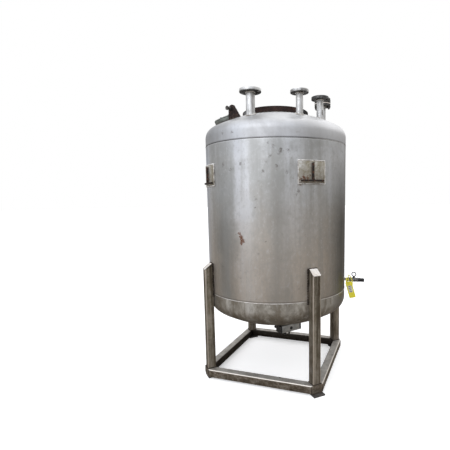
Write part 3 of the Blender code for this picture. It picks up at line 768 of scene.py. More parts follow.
def addBlock(bm, low, high, place=None):
    made = bmesh.ops.create_cube(bm, size=1.0)["verts"]
    size = Vector(high) - Vector(low)
    bmesh.ops.scale(bm, vec=size, verts=made)
    bmesh.ops.translate(bm, vec=(Vector(low) + Vector(high)) / 2, verts=made)
    if place is not None:
        bmesh.ops.transform(bm, matrix=place, verts=made)


def addRod(bm, radius, low, high, sides, place=None):
    size = {"radius1": radius, "radius2": radius, "depth": high - low}
    made = bmesh.ops.create_cone(bm, cap_ends=True, segments=sides, **size)["verts"]
    bmesh.ops.translate(bm, vec=(0.0, 0.0, (low + high) / 2), verts=made)
    if place is not None:
        bmesh.ops.transform(bm, matrix=place, verts=made)


def copyOf(node):
    # The CAD node's own shape with its loose triangles merged into whole faces
    bm = bmesh.new()
    bm.from_mesh(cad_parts[node].data)
    bmesh.ops.remove_doubles(bm, verts=bm.verts, dist=seamGap)
    bmesh.ops.dissolve_limit(bm, angle_limit=flatWithin, verts=bm.verts, edges=bm.edges)
    return bm


def spaced(points, pitch, cyclic=False):
    # Points at an even pitch along a path
    stops = list(points) + ([points[0]] if cyclic else [])
    even = []
    for start, end in zip(stops, stops[1:]):
        count = max(1, round((end - start).length / pitch))
        even += [start.lerp(end, i / count) for i in range(count)]
    if not cyclic:
        even.append(stops[-1])
    return even


def addBead(bm, points, radius, pitch=0.0045, cyclic=False, ripple=0.16, sides=2):
    # A weld bead: a thin tube along a path, whose thickness pulses
    curve = bpy.data.curves.new("bead", "CURVE")
    curve.dimensions = "3D"
    curve.bevel_depth = radius
    curve.bevel_resolution = sides
    curve.use_fill_caps = not cyclic
    line = curve.splines.new("POLY")
    even = spaced(points, pitch / 2, cyclic)
    if cyclic and len(even) % 2:
        even.pop()
    line.points.add(len(even) - 1)
    line.use_cyclic_u = cyclic
    for i, (stop, point) in enumerate(zip(line.points, even)):
        stop.co = (*point, 1.0)
        stop.radius = 1.0 + ripple * (1 if i % 2 else -1)
    holder = bpy.data.objects.new("bead", curve)
    bpy.context.scene.collection.objects.link(holder)
    bpy.context.view_layer.update()
    graph = bpy.context.evaluated_depsgraph_get()
    mesh = bpy.data.meshes.new_from_object(holder.evaluated_get(graph))
    bm.from_mesh(mesh)
    bpy.data.objects.remove(holder, do_unlink=True)
    bpy.data.meshes.remove(mesh)


def ringOf(radius, height, steps, centre=(0.0, 0.0)):
    points = []
    for i in range(steps):
        turn = 2 * math.pi * i / steps
        x = centre[0] + radius * math.cos(turn)
        y = centre[1] + radius * math.sin(turn)
        points.append(Vector((x, y, height)))
    return points


def upLine(point, low, high):
    return [point + Vector((0.0, 0.0, low)), point + Vector((0.0, 0.0, high))]


def addNut(bm, place, across, thick):
    # A hexagon nut on its washer
    addRod(bm, across / math.sqrt(3), 0.0, thick, 6, place)
    addRod(bm, across * 0.62, -0.0015, 0.0, 24, place)


def addScrew(bm, place, radius, socket, high):
    # A round screw head with a six-sided socket
    addRod(bm, radius, -0.001, high, 20, place)
    addRod(bm, socket, high - 0.0002, high + 0.0004, 6, place)


# Vessel: shell and dished heads
vessel = {
    "wall": 0.006,
    "topCrown": 1.067,
    "topKnuckle": 0.080,
    "bottomCrown": 0.960,
    "bottomKnuckle": 0.100,
    "flange": 0.060,
    "mixerOpening": 0.205,
    "turnSteps": 240,
    "crownSteps": 22,
    "kneeSteps": 12,
}
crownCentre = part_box("top_head")[1].z - math.sqrt(vessel["topCrown"] ** 2 - vessel["mixerOpening"] ** 2)


def crownHeight(x, y):
    return crownCentre + math.sqrt(vessel["topCrown"] ** 2 - x * x - y * y)


def onCrown(points, lift):
    return [Vector((p.x, p.y, crownHeight(p.x, p.y) + lift)) for p in points]


def headSection(crown, knuckle, opening, inset):
    # Half section from the opening down to the seam, with the seam at height 0
    reach = tankRadius - knuckle
    depth = crown - math.sqrt((crown - knuckle) ** 2 - reach**2)
    centre = vessel["flange"] + depth - crown
    meeting = math.asin(reach / (crown - knuckle))
    start = math.asin(opening / (crown - inset))
    section = []
    for i in range(vessel["crownSteps"] + 1):
        turn = start + (meeting - start) * i / vessel["crownSteps"]
        section.append(((crown - inset) * math.sin(turn), centre + (crown - inset) * math.cos(turn)))
    for i in range(1, vessel["kneeSteps"] + 1):
        turn = meeting + (math.pi / 2 - meeting) * i / vessel["kneeSteps"]
        bend = knuckle - inset
        section.append((reach + bend * math.sin(turn), vessel["flange"] + bend * math.cos(turn)))
    section.append((tankRadius - inset, vessel["flange"] * 0.5))
    section.append((tankRadius - inset, 0.0))
    return section


def headProfile(crown, knuckle, opening, rim, way):
    outside = headSection(crown, knuckle, opening, 0.0)
    inside = headSection(crown, knuckle, opening, vessel["wall"])
    return [(r, rim + way * z) for r, z in outside + inside[::-1]]


def cutWith(piece, cutter):
    # Takes a cutter's shape out of a piece for good
    helper = bpy.data.objects.new("cutter", bpy.data.meshes.new("cutter"))
    bmesh.ops.recalc_face_normals(cutter, faces=cutter.faces)
    cutter.to_mesh(helper.data)
    cutter.free()
    bpy.context.scene.collection.objects.link(helper)
    boolean = piece.modifiers.new("cut", "BOOLEAN")
    boolean.operation = "DIFFERENCE"
    boolean.solver = "EXACT"
    boolean.object = helper
    bpy.context.view_layer.update()
    graph = bpy.context.evaluated_depsgraph_get()
    mesh = bpy.data.meshes.new_from_object(piece.evaluated_get(graph))
    piece.modifiers.clear()
    piece.data = mesh
    mesh.set_sharp_from_angle(angle=sharpFrom)
    bpy.data.objects.remove(helper, do_unlink=True)


def makeVessel():
    steps = vessel["turnSteps"]
    inside = tankRadius - vessel["wall"]
    shell = [(tankRadius, topSeam), (tankRadius, bottomSeam), (inside, bottomSeam), (inside, topSeam)]
    addPiece("vesselShell", spun(shell, steps), "vesselShellSteel", "vessel_steel", "shell")
    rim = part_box("bottom_head")[1].z
    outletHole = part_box("outlet_pipe")[1].x + hair
    profile = headProfile(vessel["bottomCrown"], vessel["bottomKnuckle"], outletHole, rim, -1)
    addPiece("bottomHead", spun(profile, steps), "bottomHeadSteel", "vessel_steel", "bottom_head")
    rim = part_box("top_head")[0].z
    profile = headProfile(vessel["topCrown"], vessel["topKnuckle"], vessel["mixerOpening"], rim, 1)
    top = addPiece("topHead", spun(profile, steps), "topHeadSteel", "vessel_steel", "top_head")
    cutter = bmesh.new()
    for name in nozzleNames:
        centre, radius = roundNode(name + "_pipe")[:2]
        addRod(cutter, radius, -0.4, 0.4, 64, movedTo(*centre))
    addRod(cutter, handHole["bore"], -0.05, 0.05, 64, handHolePlace() @ movedTo(0.0, 0.0, vessel["topCrown"]))
    cutWith(top, cutter)


# Weld seams round the shell and up its back
seam = {"sunk": 0.0014, "radius": 0.0026, "pitch": 0.006, "steps": 360, "backAngle": 158.0}


def makeSeams():
    reach = tankRadius - seam["sunk"]
    for name, height in (("topSeam", topSeam), ("bottomSeam", bottomSeam)):
        bm = bmesh.new()
        addBead(bm, ringOf(reach, height, seam["steps"]), seam["radius"], seam["pitch"], cyclic=True)
        addPiece(name + "Weld", bm, name, "vessel_steel")
    bm = bmesh.new()
    back = outward(seam["backAngle"]) * reach
    addBead(bm, upLine(back, bottomSeam, topSeam), seam["radius"], seam["pitch"])
    addPiece("uprightSeamWeld", bm, "brightWeld", "vessel_steel")


# Flanged nozzles on the top head
nozzleNames = ["nozzle_1", "nozzle_2", "nozzle_3", "nozzle_4"]
nozzle = {
    "wall": 0.0035,
    "boltCircle": {"nozzle_1": 0.0600},
    "boltHole": {"nozzle_1": 0.0095},
    "usualCircle": 0.0492,
    "usualHole": 0.0080,
    "raised": 0.0016,
    "grooves": 7,
    "grooveDepth": 0.0004,
    "weld": 0.0050,
    "bolts": 4,
    "chamfer": 0.0012,
    "steps": 96,
    "darkFlanges": ("nozzle_3", "nozzle_4"),
}
blind = {
    "gasketProud": 0.0010,
    "gasketWide": 0.004,
    "gasketOver": 0.0025,
    "gasketUnder": 0.0035,
    "nut": 0.024,
    "nutThick": 0.012,
    "nutTurn": 740.0,
    "stud": 0.0070,
    "studOver": 0.020,
    "studUnder": 0.022,
    "washer": 0.0015,
}


def boltSpots(name):
    circle = nozzle["boltCircle"].get(name, nozzle["usualCircle"])
    spots = []
    for i in range(nozzle["bolts"]):
        turn = 2 * math.pi * (i + 0.5) / nozzle["bolts"]
        spots.append((circle * math.cos(turn), circle * math.sin(turn)))
    return spots


def raisedFace(inner, outer, height, centre):
    # The flange's face with its turned grooves
    pitch = (outer - inner) / nozzle["grooves"]
    profile = [(inner, height - 0.001), (inner, height + nozzle["raised"])]
    for i in range(nozzle["grooves"]):
        profile.append((inner + pitch * (i + 0.3), height + nozzle["raised"]))
        profile.append((inner + pitch * (i + 0.65), height + nozzle["raised"] - nozzle["grooveDepth"]))
    profile += [(outer, height + nozzle["raised"]), (outer, height - 0.001)]
    return spun(profile, nozzle["steps"], place=movedTo(centre.x, centre.y, 0.0))


def makeNozzles():
    welds = bmesh.new()
    for name in nozzleNames:
        centre, outer, low, high = roundNode(name + "_flange")
        centre, pipe, pipeLow, pipeHigh = roundNode(name + "_pipe")
        bore = pipe - nozzle["wall"]
        place = movedTo(centre.x, centre.y, 0.0)
        section = [(pipe, pipeHigh), (pipe, pipeLow), (bore, pipeLow), (bore, pipeHigh)]
        tube = spun(section, nozzle["steps"], place=place)
        addPiece(name + "_tube", tube, "nozzleSteel", "vessel_steel", name + "_pipe")
        hole = nozzle["boltHole"].get(name, nozzle["usualHole"])
        edge = nozzle["chamfer"]
        inner = pipe + hair
        section = [(inner, high), (outer - edge, high), (outer, high - edge)]
        section += [(outer, low + edge), (outer - edge, low), (inner, low)]
        disc = spun(section, nozzle["steps"], place=place)
        # The third and fourth flanges take the dark copy of the flange finish, which paints shade on them
        finish = "shadedFlangeSteel" if name in nozzle["darkFlanges"] else "flangeSteel"
        disc = addPiece(name + "_disc", disc, finish, "vessel_steel", name + "_flange")
        cutter = bmesh.new()
        for x, y in boltSpots(name):
            addRod(cutter, hole, low - overshoot, high + overshoot, holeSides, place @ movedTo(x, y, 0.0))
        cutWith(disc, cutter)
        if name != "nozzle_4":
            edge = nozzle["boltCircle"].get(name, nozzle["usualCircle"]) - hole - 0.004
            face = raisedFace(bore + 0.001, edge, high, centre)
            addPiece(name + "_face", face, "brightSteel", "vessel_steel")
        neck = ringOf(pipe + 0.0015, low - 0.001, 72, centre)
        addBead(welds, neck, nozzle["weld"] * 0.7, cyclic=True)
        foot = onCrown(ringOf(pipe + 0.002, 0.0, nozzle["steps"], centre), 0.002)
        addBead(welds, foot, nozzle["weld"], cyclic=True)
    addPiece("nozzleWelds", welds, "brightWeld", "vessel_steel")


def makeBlind():
    centre, outer, low, high = roundNode("nozzle_4_blind")
    place = movedTo(centre.x, centre.y, 0.0)
    profile = [(0.0, high), (outer, high), (outer, low), (0.0, low)]
    bm = softEdges(spun(profile, nozzle["steps"], closed=False, place=place), plateEdge)
    addPiece("nozzle_4_cover", bm, "blackPaint", "dark_steel", "nozzle_4_blind")
    # Pale gasket that shows between the flange and its cover
    proud = outer + blind["gasketProud"]
    inner = outer - blind["gasketWide"]
    over = low + blind["gasketOver"]
    under = low - blind["gasketUnder"]
    rim = [(inner, over), (proud, over), (proud, under), (inner, under)]
    addPiece("nozzle_4_gasket", spun(rim, nozzle["steps"], place=place), "legCapSteel", "dark_steel")
    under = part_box("nozzle_4_flange")[0].z
    bm = bmesh.new()
    for x, y in boltSpots("nozzle_4"):
        at = movedTo(centre.x + x, centre.y + y, 0.0)
        # The nuts stand askew, each side's turned its own way
        turn = turned(blind["nutTurn"] * x)
        above = at @ movedTo(0.0, 0.0, high + blind["washer"])
        below = at @ movedTo(0.0, 0.0, under - blind["washer"]) @ flipped
        for seat in (above, below):
            addNut(bm, seat @ turn, blind["nut"], blind["nutThick"])
        addRod(bm, blind["stud"], under - blind["studUnder"], high + blind["studOver"], 16, at)
    softEdges(bm, smallEdge, 1, 40.0)
    addPiece("nozzle_4_bolts", bm, "darkSteel", "dark_steel")


# Brown ring round the opening on top
mixerRing = {
    "holes": 8,
    "holeRadius": 0.0085,
    "holeCircle": 0.2275,
    "holeDepth": 0.030,
    "chamfer": 0.0015,
    "seatSteps": 4,
    "steps": 180,
    "joint": -34.8,
    "jointWeld": 0.0022,
    "footWeld": 0.0040,
}


def makeMixerRing():
    low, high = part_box("mixer_ring")
    outer = high.x
    inner = vessel["mixerOpening"]
    edge = mixerRing["chamfer"]
    section = []
    for i in range(mixerRing["seatSteps"] + 1):
        r = inner + (outer - inner) * i / mixerRing["seatSteps"]
        section.append((r, crownHeight(r, 0.0) + 2 * hair))
    section += [(outer, high.z - edge), (outer - edge, high.z)]
    section += [(inner + edge, high.z), (inner, high.z - edge)]
    bm = spun(section, mixerRing["steps"])
    ring = addPiece("mixerRing", bm, "ringRust", "rusted_steel", "mixer_ring")
    cutter = bmesh.new()
    for i in range(mixerRing["holes"]):
        spot = outward(360.0 * (i + 0.5) / mixerRing["holes"]) * mixerRing["holeCircle"]
        bottom = high.z - mixerRing["holeDepth"]
        addRod(cutter, mixerRing["holeRadius"], bottom, high.z + overshoot, holeSides, movedTo(*spot))
    cutWith(ring, cutter)
    bm = bmesh.new()
    joint = outward(mixerRing["joint"]) * outer
    addBead(bm, upLine(joint, low.z + 0.030, high.z - 0.002), mixerRing["jointWeld"])
    foot = onCrown(ringOf(outer + 0.001, 0.0, mixerRing["steps"]), 0.001)
    addBead(bm, foot, mixerRing["footWeld"], 0.006, cyclic=True)
    addPiece("ringWelds", bm, "darkWeld", "rusted_steel")


# Hand hole on the left, behind the lug
handHole = {
    "angle": -97.0,
    "reach": 0.370,
    "outer": 0.0935,
    "bore": 0.065,
    "ring": 0.022,
    "cover": 0.012,
    "dome": 0.004,
    "domeRadius": 0.050,
    "domeFoot": 0.056,
    "bolts": 8,
    "steps": 96,
    "weld": 0.0035,
}


def handHolePlace():
    lean = math.asin(handHole["reach"] / vessel["topCrown"])
    return movedTo(0.0, 0.0, crownCentre) @ turned(handHole["angle"]) @ Matrix.Rotation(lean, 4, "X")


def makeHandHole():
    place = handHolePlace()
    outer = handHole["outer"]
    bore = handHole["bore"]
    crown = vessel["topCrown"]
    top = crown + handHole["ring"]
    foot = [(r, math.sqrt(crown**2 - r * r) + hair) for r in (bore, (bore + outer) / 2, outer)]
    bm = spun(foot + [(outer, top), (bore, top)], handHole["steps"], place=place)
    softEdges(bm, plateEdge)
    addPiece("handHoleRing", bm, "handHoleSteel", "vessel_steel", "hand_hole_ring")
    low = top + hair
    high = low + handHole["cover"]
    dome = high - handHole["dome"]
    cover = [(0.0, high), (handHole["domeRadius"], high), (handHole["domeFoot"], dome)]
    cover += [(outer, dome), (outer, low), (0.0, low)]
    bm = spun(cover, handHole["steps"], closed=False, place=place)
    softEdges(bm, plateEdge)
    addPiece("handHoleCover", bm, "handHoleSteel", "vessel_steel", "hand_hole_cover")
    bm = bmesh.new()
    for i in range(handHole["bolts"]):
        spot = outward(360.0 * i / handHole["bolts"]) * (bore + outer) / 2
        at = place @ movedTo(spot.x, spot.y, dome + 0.0012)
        addScrew(bm, at, 0.0065, 0.0028, 0.0030)
    addPiece("handHoleBolts", softEdges(bm, screwEdge, 1, 40.0), "darkSteel", "dark_steel")
    bm = bmesh.new()
    rim = ringOf(outer + 0.001, math.sqrt(crown**2 - outer**2) + 0.002, handHole["steps"])
    addBead(bm, [place @ point for point in rim], handHole["weld"], cyclic=True)
    addPiece("handHoleWeld", bm, "darkWeld", "vessel_steel")


# Lifting lug and its pin
lug = {
    "angle": -74.0,
    "turn": 10.0,
    "reach": 0.386,
    "halfWidth": 0.051,
    "halfThick": 0.006,
    "height": 0.094,
    "round": 0.030,
    "pinRadius": 0.0095,
    "pinHead": 0.014,
    "pinHalf": 0.043,
    "pinEnd": 0.053,
    "pinEdge": 0.0015,
    "edge": 0.0015,
    "weld": 0.0040,
    "scar": 0.036,
    "scarOff": 0.026,
    "scarWeld": 0.0022,
}


def makeLug():
    bm = softEdges(copyOf("lifting_lug"), lug["edge"])
    addPiece("liftingLug", bm, "stubRust", "rusted_steel", "lifting_lug")
    frontSide = outward(lug["angle"]) * lug["reach"]
    place = movedTo(frontSide.x, frontSide.y, 0.0) @ turned(lug["angle"] + lug["turn"])
    bm = bmesh.new()
    for side in (1, -1):
        path = []
        for i in range(9):
            along = lug["halfWidth"] * (i / 4 - 1)
            path.append(place @ Vector((along, side * (lug["halfThick"] + 0.001), 0.0)))
        addBead(bm, onCrown(path, 0.002), lug["weld"])
    addPiece("lugWelds", bm, "darkWeld", "rusted_steel")
    eye = lug["height"] - lug["round"]
    hole = movedTo(lug["round"] - lug["halfWidth"], 0.0, crownHeight(frontSide.x, frontSide.y) + eye)
    at = place @ hole @ lying
    r, head, half, end = lug["pinRadius"], lug["pinHead"], lug["pinHalf"], lug["pinEnd"]
    edge = lug["pinEdge"]
    profile = [(0.0, -half), (r - edge, -half), (r, edge - half), (r, half), (head - edge, half)]
    profile += [(head, half + edge), (head, end - edge), (head - edge, end), (0.0, end)]
    bm = spun(profile, 40, closed=False, place=at)
    addPiece("lugPin", bm, "darkSteel", "dark_steel", "lug_pin")
    # Ring-shaped scar of an older fitting, ground down, in front of the lug
    bm = bmesh.new()
    scar = outward(lug["angle"] + lug["turn"]) * lug["scarOff"] + frontSide
    path = onCrown(ringOf(lug["scar"], 0.0, 60, scar), 0.0006)
    addBead(bm, path, lug["scarWeld"], 0.004, cyclic=True)
    addPiece("lugScar", bm, "darkWeld", "vessel_steel")


# Cut-off brackets on the shell
corners = {"front": 0.0, "right": 90.0, "back": 180.0, "left": 270.0}
bracket = {
    "halfWidth": 0.101,
    "low": 1.417,
    "high": 1.566,
    "thick": 0.006,
    "barHalfWidth": 0.084,
    "barLow": 1.431,
    "barHigh": 1.443,
    "reach": 0.0215,
    "finThick": 0.010,
    "finHigh": 1.553,
    "ragged": 0.0022,
    "coarse": 90.0,
    "fine": 230.0,
    "weld": 0.0040,
    "weldOff": 0.0035,
    "weldSteps": 12,
    "rustSpots": [
        (-7.0, 1.457, 0.017, 1.0),
        (-4.2, 1.452, 0.014, 0.9),
        (-9.3, 1.448, 0.013, 0.9),
        (-2.0, 1.470, 0.010, 0.7),
        (3.0, 1.448, 0.009, 0.5),
    ],
}


def bracketRust():
    spots = []
    for angle in corners.values():
        for along, height, size, strength in bracket["rustSpots"]:
            spots.append((angle + along, tankRadius + bracket["thick"], height, size, strength))
    return spots


def bentBlock(inner, outer, low, high, halfWidth, angle, steps):
    # A block that wraps round the shell
    bm = bmesh.new()
    spread = halfWidth / inner
    outline = [(inner, low), (outer, low), (outer, high), (inner, high)]
    corner = [bm.verts.new((0.0, -r, z)) for r, z in outline]
    edges = [bm.edges.new((corner[i], corner[(i + 1) % 4])) for i in range(4)]
    bmesh.ops.rotate(bm, verts=corner, matrix=Matrix.Rotation(-spread, 3, "Z"))
    swept(bm, corner + edges, steps, 2 * spread, False)
    closeHoles(bm, 4)
    moveAll(bm, turned(angle))
    return bm


def addFin(bm, pad, tip, angle):
    # The fin that is left above the bar, cut finely so that its edge can be made ragged
    low, high = bracket["barHigh"], bracket["finHigh"]
    fin = bmesh.ops.create_grid(bm, x_segments=1, y_segments=22, size=0.5)["verts"]
    bmesh.ops.scale(bm, vec=(bracket["finThick"], high - low + 0.002, 1.0), verts=fin)
    faces = list({face for vert in fin for face in vert.link_faces})
    drawn = bmesh.ops.extrude_face_region(bm, geom=faces, use_keep_orig=True)["geom"]
    lifted = [item for item in drawn if isinstance(item, bmesh.types.BMVert)]
    bmesh.ops.translate(bm, vec=(0.0, 0.0, tip - pad + 0.001), verts=lifted)
    place = turned(angle) @ movedTo(0.0, -pad, (low + high) / 2 - 0.001) @ lying
    bmesh.ops.transform(bm, matrix=place, verts=fin + lifted)


def padOutline(angle, inner):
    half = math.degrees(bracket["halfWidth"] / inner)
    low, high = bracket["low"], bracket["high"]
    stops = [(-half, high), (half, high), (half, low), (-half, low), (-half, high)]
    path = []
    for (startAngle, startHeight), (endAngle, endHeight) in zip(stops, stops[1:]):
        for i in range(bracket["weldSteps"]):
            share = i / bracket["weldSteps"]
            point = outward(angle + startAngle + (endAngle - startAngle) * share)
            point *= inner + bracket["weldOff"]
            point.z = startHeight + (endHeight - startHeight) * share
            path.append(point)
    return path


def makeBrackets():
    welds = bmesh.new()
    inner = tankRadius + hair
    pad = inner + bracket["thick"]
    tip = inner + bracket["reach"]
    for name, angle in corners.items():
        bm = bentBlock(inner, pad, bracket["low"], bracket["high"], bracket["halfWidth"], angle, 24)
        softEdges(bm, plateEdge)
        addPiece("bracketPad_" + name, bm, "bracketSteel", "vessel_steel", "bracket_" + name)
        low, high = bracket["barLow"], bracket["barHigh"]
        bm = bentBlock(pad - 0.001, tip, low, high, bracket["barHalfWidth"], angle, 40)
        addFin(bm, pad, tip, angle)
        # The torch left a ragged edge
        for vert in bm.verts:
            reach = vert.co.xy.length
            if reach > tip - 0.004:
                bite = noise.noise(vert.co * bracket["coarse"]) + 0.6 * noise.noise(vert.co * bracket["fine"])
                vert.co.xy *= 1.0 - bracket["ragged"] * (0.7 + bite) / reach
        softEdges(bm, barEdge, 1, 50.0)
        addPiece("bracketStub_" + name, bm, "barRust", "rusted_steel")
        addBead(welds, padOutline(angle, inner), bracket["weld"], cyclic=True)
    addPiece("bracketWelds", welds, "padWeld", "vessel_steel")


# Stand: legs, base rails and foot plates
stand = {
    "legRound": 0.006,
    "railRound": 0.007,
    "capThick": 0.004,
    "capFlat": 0.014,
    "capShy": 0.0005,
    "chamfer": 0.596,
    "proudPlates": ("front", "back"),
    "railReach": 0.453,
    "railWidth": 0.060,
    "footWeld": 0.0038,
    "sideWeldAndShade": 0.0078,
    "capWeld": 0.0040,
    "slopeWeld": 0.0018,
    "mitreWeld": 0.0030,
    "mitreEnd": 0.532,
    "cornerWeld": 0.0026,
    "drain": 0.0065,
    "drainDepth": 0.045,
    "drains": {"front_left": [(-0.181, -0.393)], "front_right": [(0.354, -0.264), (0.180, -0.475)]},
}
sides = {"front_right": 45.0, "back_right": 135.0, "back_left": 225.0, "front_left": 315.0}


def makeLegs():
    # Sizes are read off the front leg, and the others are turned copies of it
    low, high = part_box("leg_front")
    inner, outer, half, top = -high.y, -low.y, high.x, high.z
    outerTop = max(v.co.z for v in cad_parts["leg_front"].data.vertices if v.co.y < low.y + 0.001)
    thick, flat = stand["capThick"], stand["capFlat"]
    welds = bmesh.new()
    for name, angle in corners.items():
        place = turned(angle)
        bm = bmesh.new()
        addBlock(bm, (-half, -outer, low.z), (half, -inner, top - thick))
        bevelled(bm, edgesAlong(bm, 2, 0.1), stand["legRound"])
        fall = (top - outerTop) / (outer - inner)
        for vert in bm.verts:
            if vert.co.z > 0.5:
                vert.co.z = top - thick + (vert.co.y + inner) * fall
        moveAll(bm, place)
        addPiece("legTube_" + name, bm, "legSteel", "stand_steel", "leg_" + name)
        bm = bmesh.new()
        wide = half - stand["capShy"]
        addBlock(bm, (-wide, -outer - 0.001, top - thick), (wide, -inner, top))
        sliced(bm, (0.0, -inner - flat, 0.0), (0.0, 1.0, 0.0))
        drop = (top - outerTop) / (outer - inner - flat)
        for vert in bm.verts:
            vert.co.z += min(0.0, (vert.co.y + inner + flat) * drop)
        softEdges(bm, castEdge, 2, 25.0)
        moveAll(bm, place)
        addPiece("legCap_" + name, bm, "legCapSteel", "stand_steel")
        wide = half + 0.0005
        foot = [(-wide, -inner), (-wide, -outer), (wide, -outer), (wide, -inner)]
        path = [place @ Vector((x, y, low.z + 0.001)) for x, y in foot]
        addBead(welds, path, stand["footWeld"], cyclic=True)
        path = [place @ Vector((x, -inner - 0.002, top)) for x in (-half, half)]
        addBead(welds, path, stand["capWeld"], 0.008, ripple=0.3)
        for hand in (1, -1):
            # Wide near-black beads up each side of the leg against the shell: the weld, drawn wide so that it
            # also paints the shade between leg and shell
            side = place @ Vector((hand * (half + 0.001), -inner - 0.001, 0.0))
            path = upLine(side, bottomSeam - 0.020, top + 0.002)
            addBead(welds, path, stand["sideWeldAndShade"], 0.011, ripple=0.38)
            slope = [(-inner, top), (-inner - flat, top), (-outer - 0.001, outerTop)]
            path = [place @ Vector((hand * half, y, z - 0.003)) for y, z in slope]
            addBead(welds, path, stand["slopeWeld"])
    addPiece("legWelds", welds, "darkWeld", "stand_steel")


def makeRails():
    # Made as the front rail of a square, then turned to each side
    low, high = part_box("base_rail_front_right")
    width, reach, chamfer = stand["railWidth"], stand["railReach"], stand["chamfer"]
    for name, angle in sides.items():
        bm = bmesh.new()
        addBlock(bm, (-reach, -reach, low.z), (reach, width - reach, high.z))
        bevelled(bm, edgesAlong(bm, 0, 0.1), stand["railRound"])
        for hand in (1, -1):
            toCorner = Vector((hand, -1.0, 0.0)).normalized()
            acrossMitre = Vector((hand, 1.0, 0.0)).normalized()
            for point, normal in ((toCorner * chamfer, toCorner), (acrossMitre * -hair, acrossMitre)):
                sliced(bm, point, normal, True)
                closeHoles(bm)
        moveAll(bm, turned(angle))
        rail = addPiece("baseRail_" + name, bm, "railSteel", "stand_steel", "base_rail_" + name)
        if name in stand["drains"]:
            cutter = bmesh.new()
            bottom = high.z - stand["drainDepth"]
            for x, y in stand["drains"][name]:
                addRod(cutter, stand["drain"], bottom, high.z + overshoot, holeSides, movedTo(x, y, 0.0))
            cutWith(rail, cutter)
    welds = bmesh.new()
    inner = math.sqrt(2) * (reach - width)
    edge = math.sqrt(2) * reach - chamfer
    for angle in corners.values():
        place = turned(angle)
        path = [place @ Vector((0.0, -y, high.z - 0.001)) for y in (inner, stand["mitreEnd"])]
        addBead(welds, path, stand["mitreWeld"])
        for hand in (1, -1):
            post = place @ Vector((hand * edge, -chamfer, 0.0))
            addBead(welds, upLine(post, low.z + 0.004, high.z - 0.004), stand["cornerWeld"])
    addPiece("railWelds", welds, "darkWeld", "stand_steel")


def makeFeet():
    low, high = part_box("foot_plate_front")
    reach = stand["chamfer"] + 0.001
    welds = bmesh.new()
    for name, angle in corners.items():
        bm = softEdges(copyOf("foot_plate_" + name), plateEdge)
        addPiece("footPlate_" + name, bm, "darkSteel", "stand_steel", "foot_plate_" + name)
        if name in stand["proudPlates"]:
            path = [turned(angle) @ Vector((x, -reach, high.z)) for x in (low.x + 0.006, high.x - 0.006)]
            addBead(welds, path, stand["mitreWeld"])
    addPiece("footWelds", welds, "darkWeld", "stand_steel")


# Outlet pipe, ball valve and air actuator under the tank
outlet = {
    "angle": 7.0,
    "wall": 0.0035,
    "waist": 0.024,
    "bonnetHalf": 0.017,
    "bonnetNear": 0.020,
    "bonnetFar": 0.040,
    "screwSpread": 0.012,
    "screwRadius": 0.0030,
    "stemRadius": 0.011,
    "yokeHalf": 0.020,
    "yokeTall": 0.023,
    "yokeThick": 0.004,
    "yokeStart": 0.046,
    "near": 0.191,
    "depth": 0.070,
    "length": 0.165,
    "height": 0.056,
    "cap": 0.013,
    "bodyRound": 0.0045,
    "capRound": 0.0035,
    "screwInset": 0.010,
    "indicator": 0.0115,
    "fittings": [(-0.045, 0.0085), (-0.008, 0.0075)],
}


def outletPlace():
    return turned(outlet["angle"]) @ movedTo(0.0, 0.0, middle("actuator_body").z)


def makeOutlet():
    low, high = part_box("outlet_pipe")
    radius = high.x
    bore = radius - outlet["wall"]
    tube = [(radius, high.z), (radius, low.z), (bore, low.z), (bore, high.z)]
    addPiece("outletTube", spun(tube, 64), "nozzleSteel", "vessel_steel", "outlet_pipe")
    low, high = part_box("outlet_valve")
    ends, waist = high.x, outlet["waist"]
    rib = waist + 0.0025
    # The valve's upper half, as depths below its top; the lower half mirrors it
    upper = [(bore, 0.0), (ends - 0.001, 0.0), (ends, 0.001), (ends, 0.008)]
    upper += [(waist, 0.011), (waist, 0.020), (rib, 0.024)]
    profile = [(r, high.z - z) for r, z in upper] + [(r, low.z + z) for r, z in upper[::-1]]
    addPiece("outletValve", spun(profile, 64), "blackPaint", "black_coating", "outlet_valve")
    place = outletPlace()
    along = place @ lying
    half, near, far = outlet["bonnetHalf"], outlet["bonnetNear"], outlet["bonnetFar"]
    bm = bmesh.new()
    addBlock(bm, (-half, -far, -half), (half, -near, half), place)
    addRod(bm, half, far, far + 0.010, 32, along)
    spread = outlet["screwSpread"]
    for x in (-spread, spread):
        for z in (-spread, spread):
            addRod(bm, outlet["screwRadius"], far - 0.001, far + 0.003, 12, along @ movedTo(x, z, 0.0))
    addPiece("valveBonnet", softEdges(bm, barEdge, 1), "blackPaint", "black_coating")
    bm = bmesh.new()
    far = outlet["near"] - outlet["depth"]
    addRod(bm, outlet["stemRadius"], waist + 0.0006, far - hair, 32, along)
    addPiece("actuatorStem", bm, "darkSteel", "dark_steel", "actuator_stem")
    # The yoke: two long plates and a short one across their ends
    wide, tall = outlet["yokeHalf"], outlet["yokeTall"]
    thick, start = outlet["yokeThick"], outlet["yokeStart"]
    long = far - 0.0005
    plates = [(tall - thick, tall, long), (-tall, thick - tall, long), (-tall, tall, start + thick)]
    bm = bmesh.new()
    for bottom, top, reach in plates:
        addBlock(bm, (-wide, -reach, bottom), (wide, -start, top), place)
    addPiece("actuatorBracket", softEdges(bm, smallEdge, 1), "darkSteel", "dark_steel")


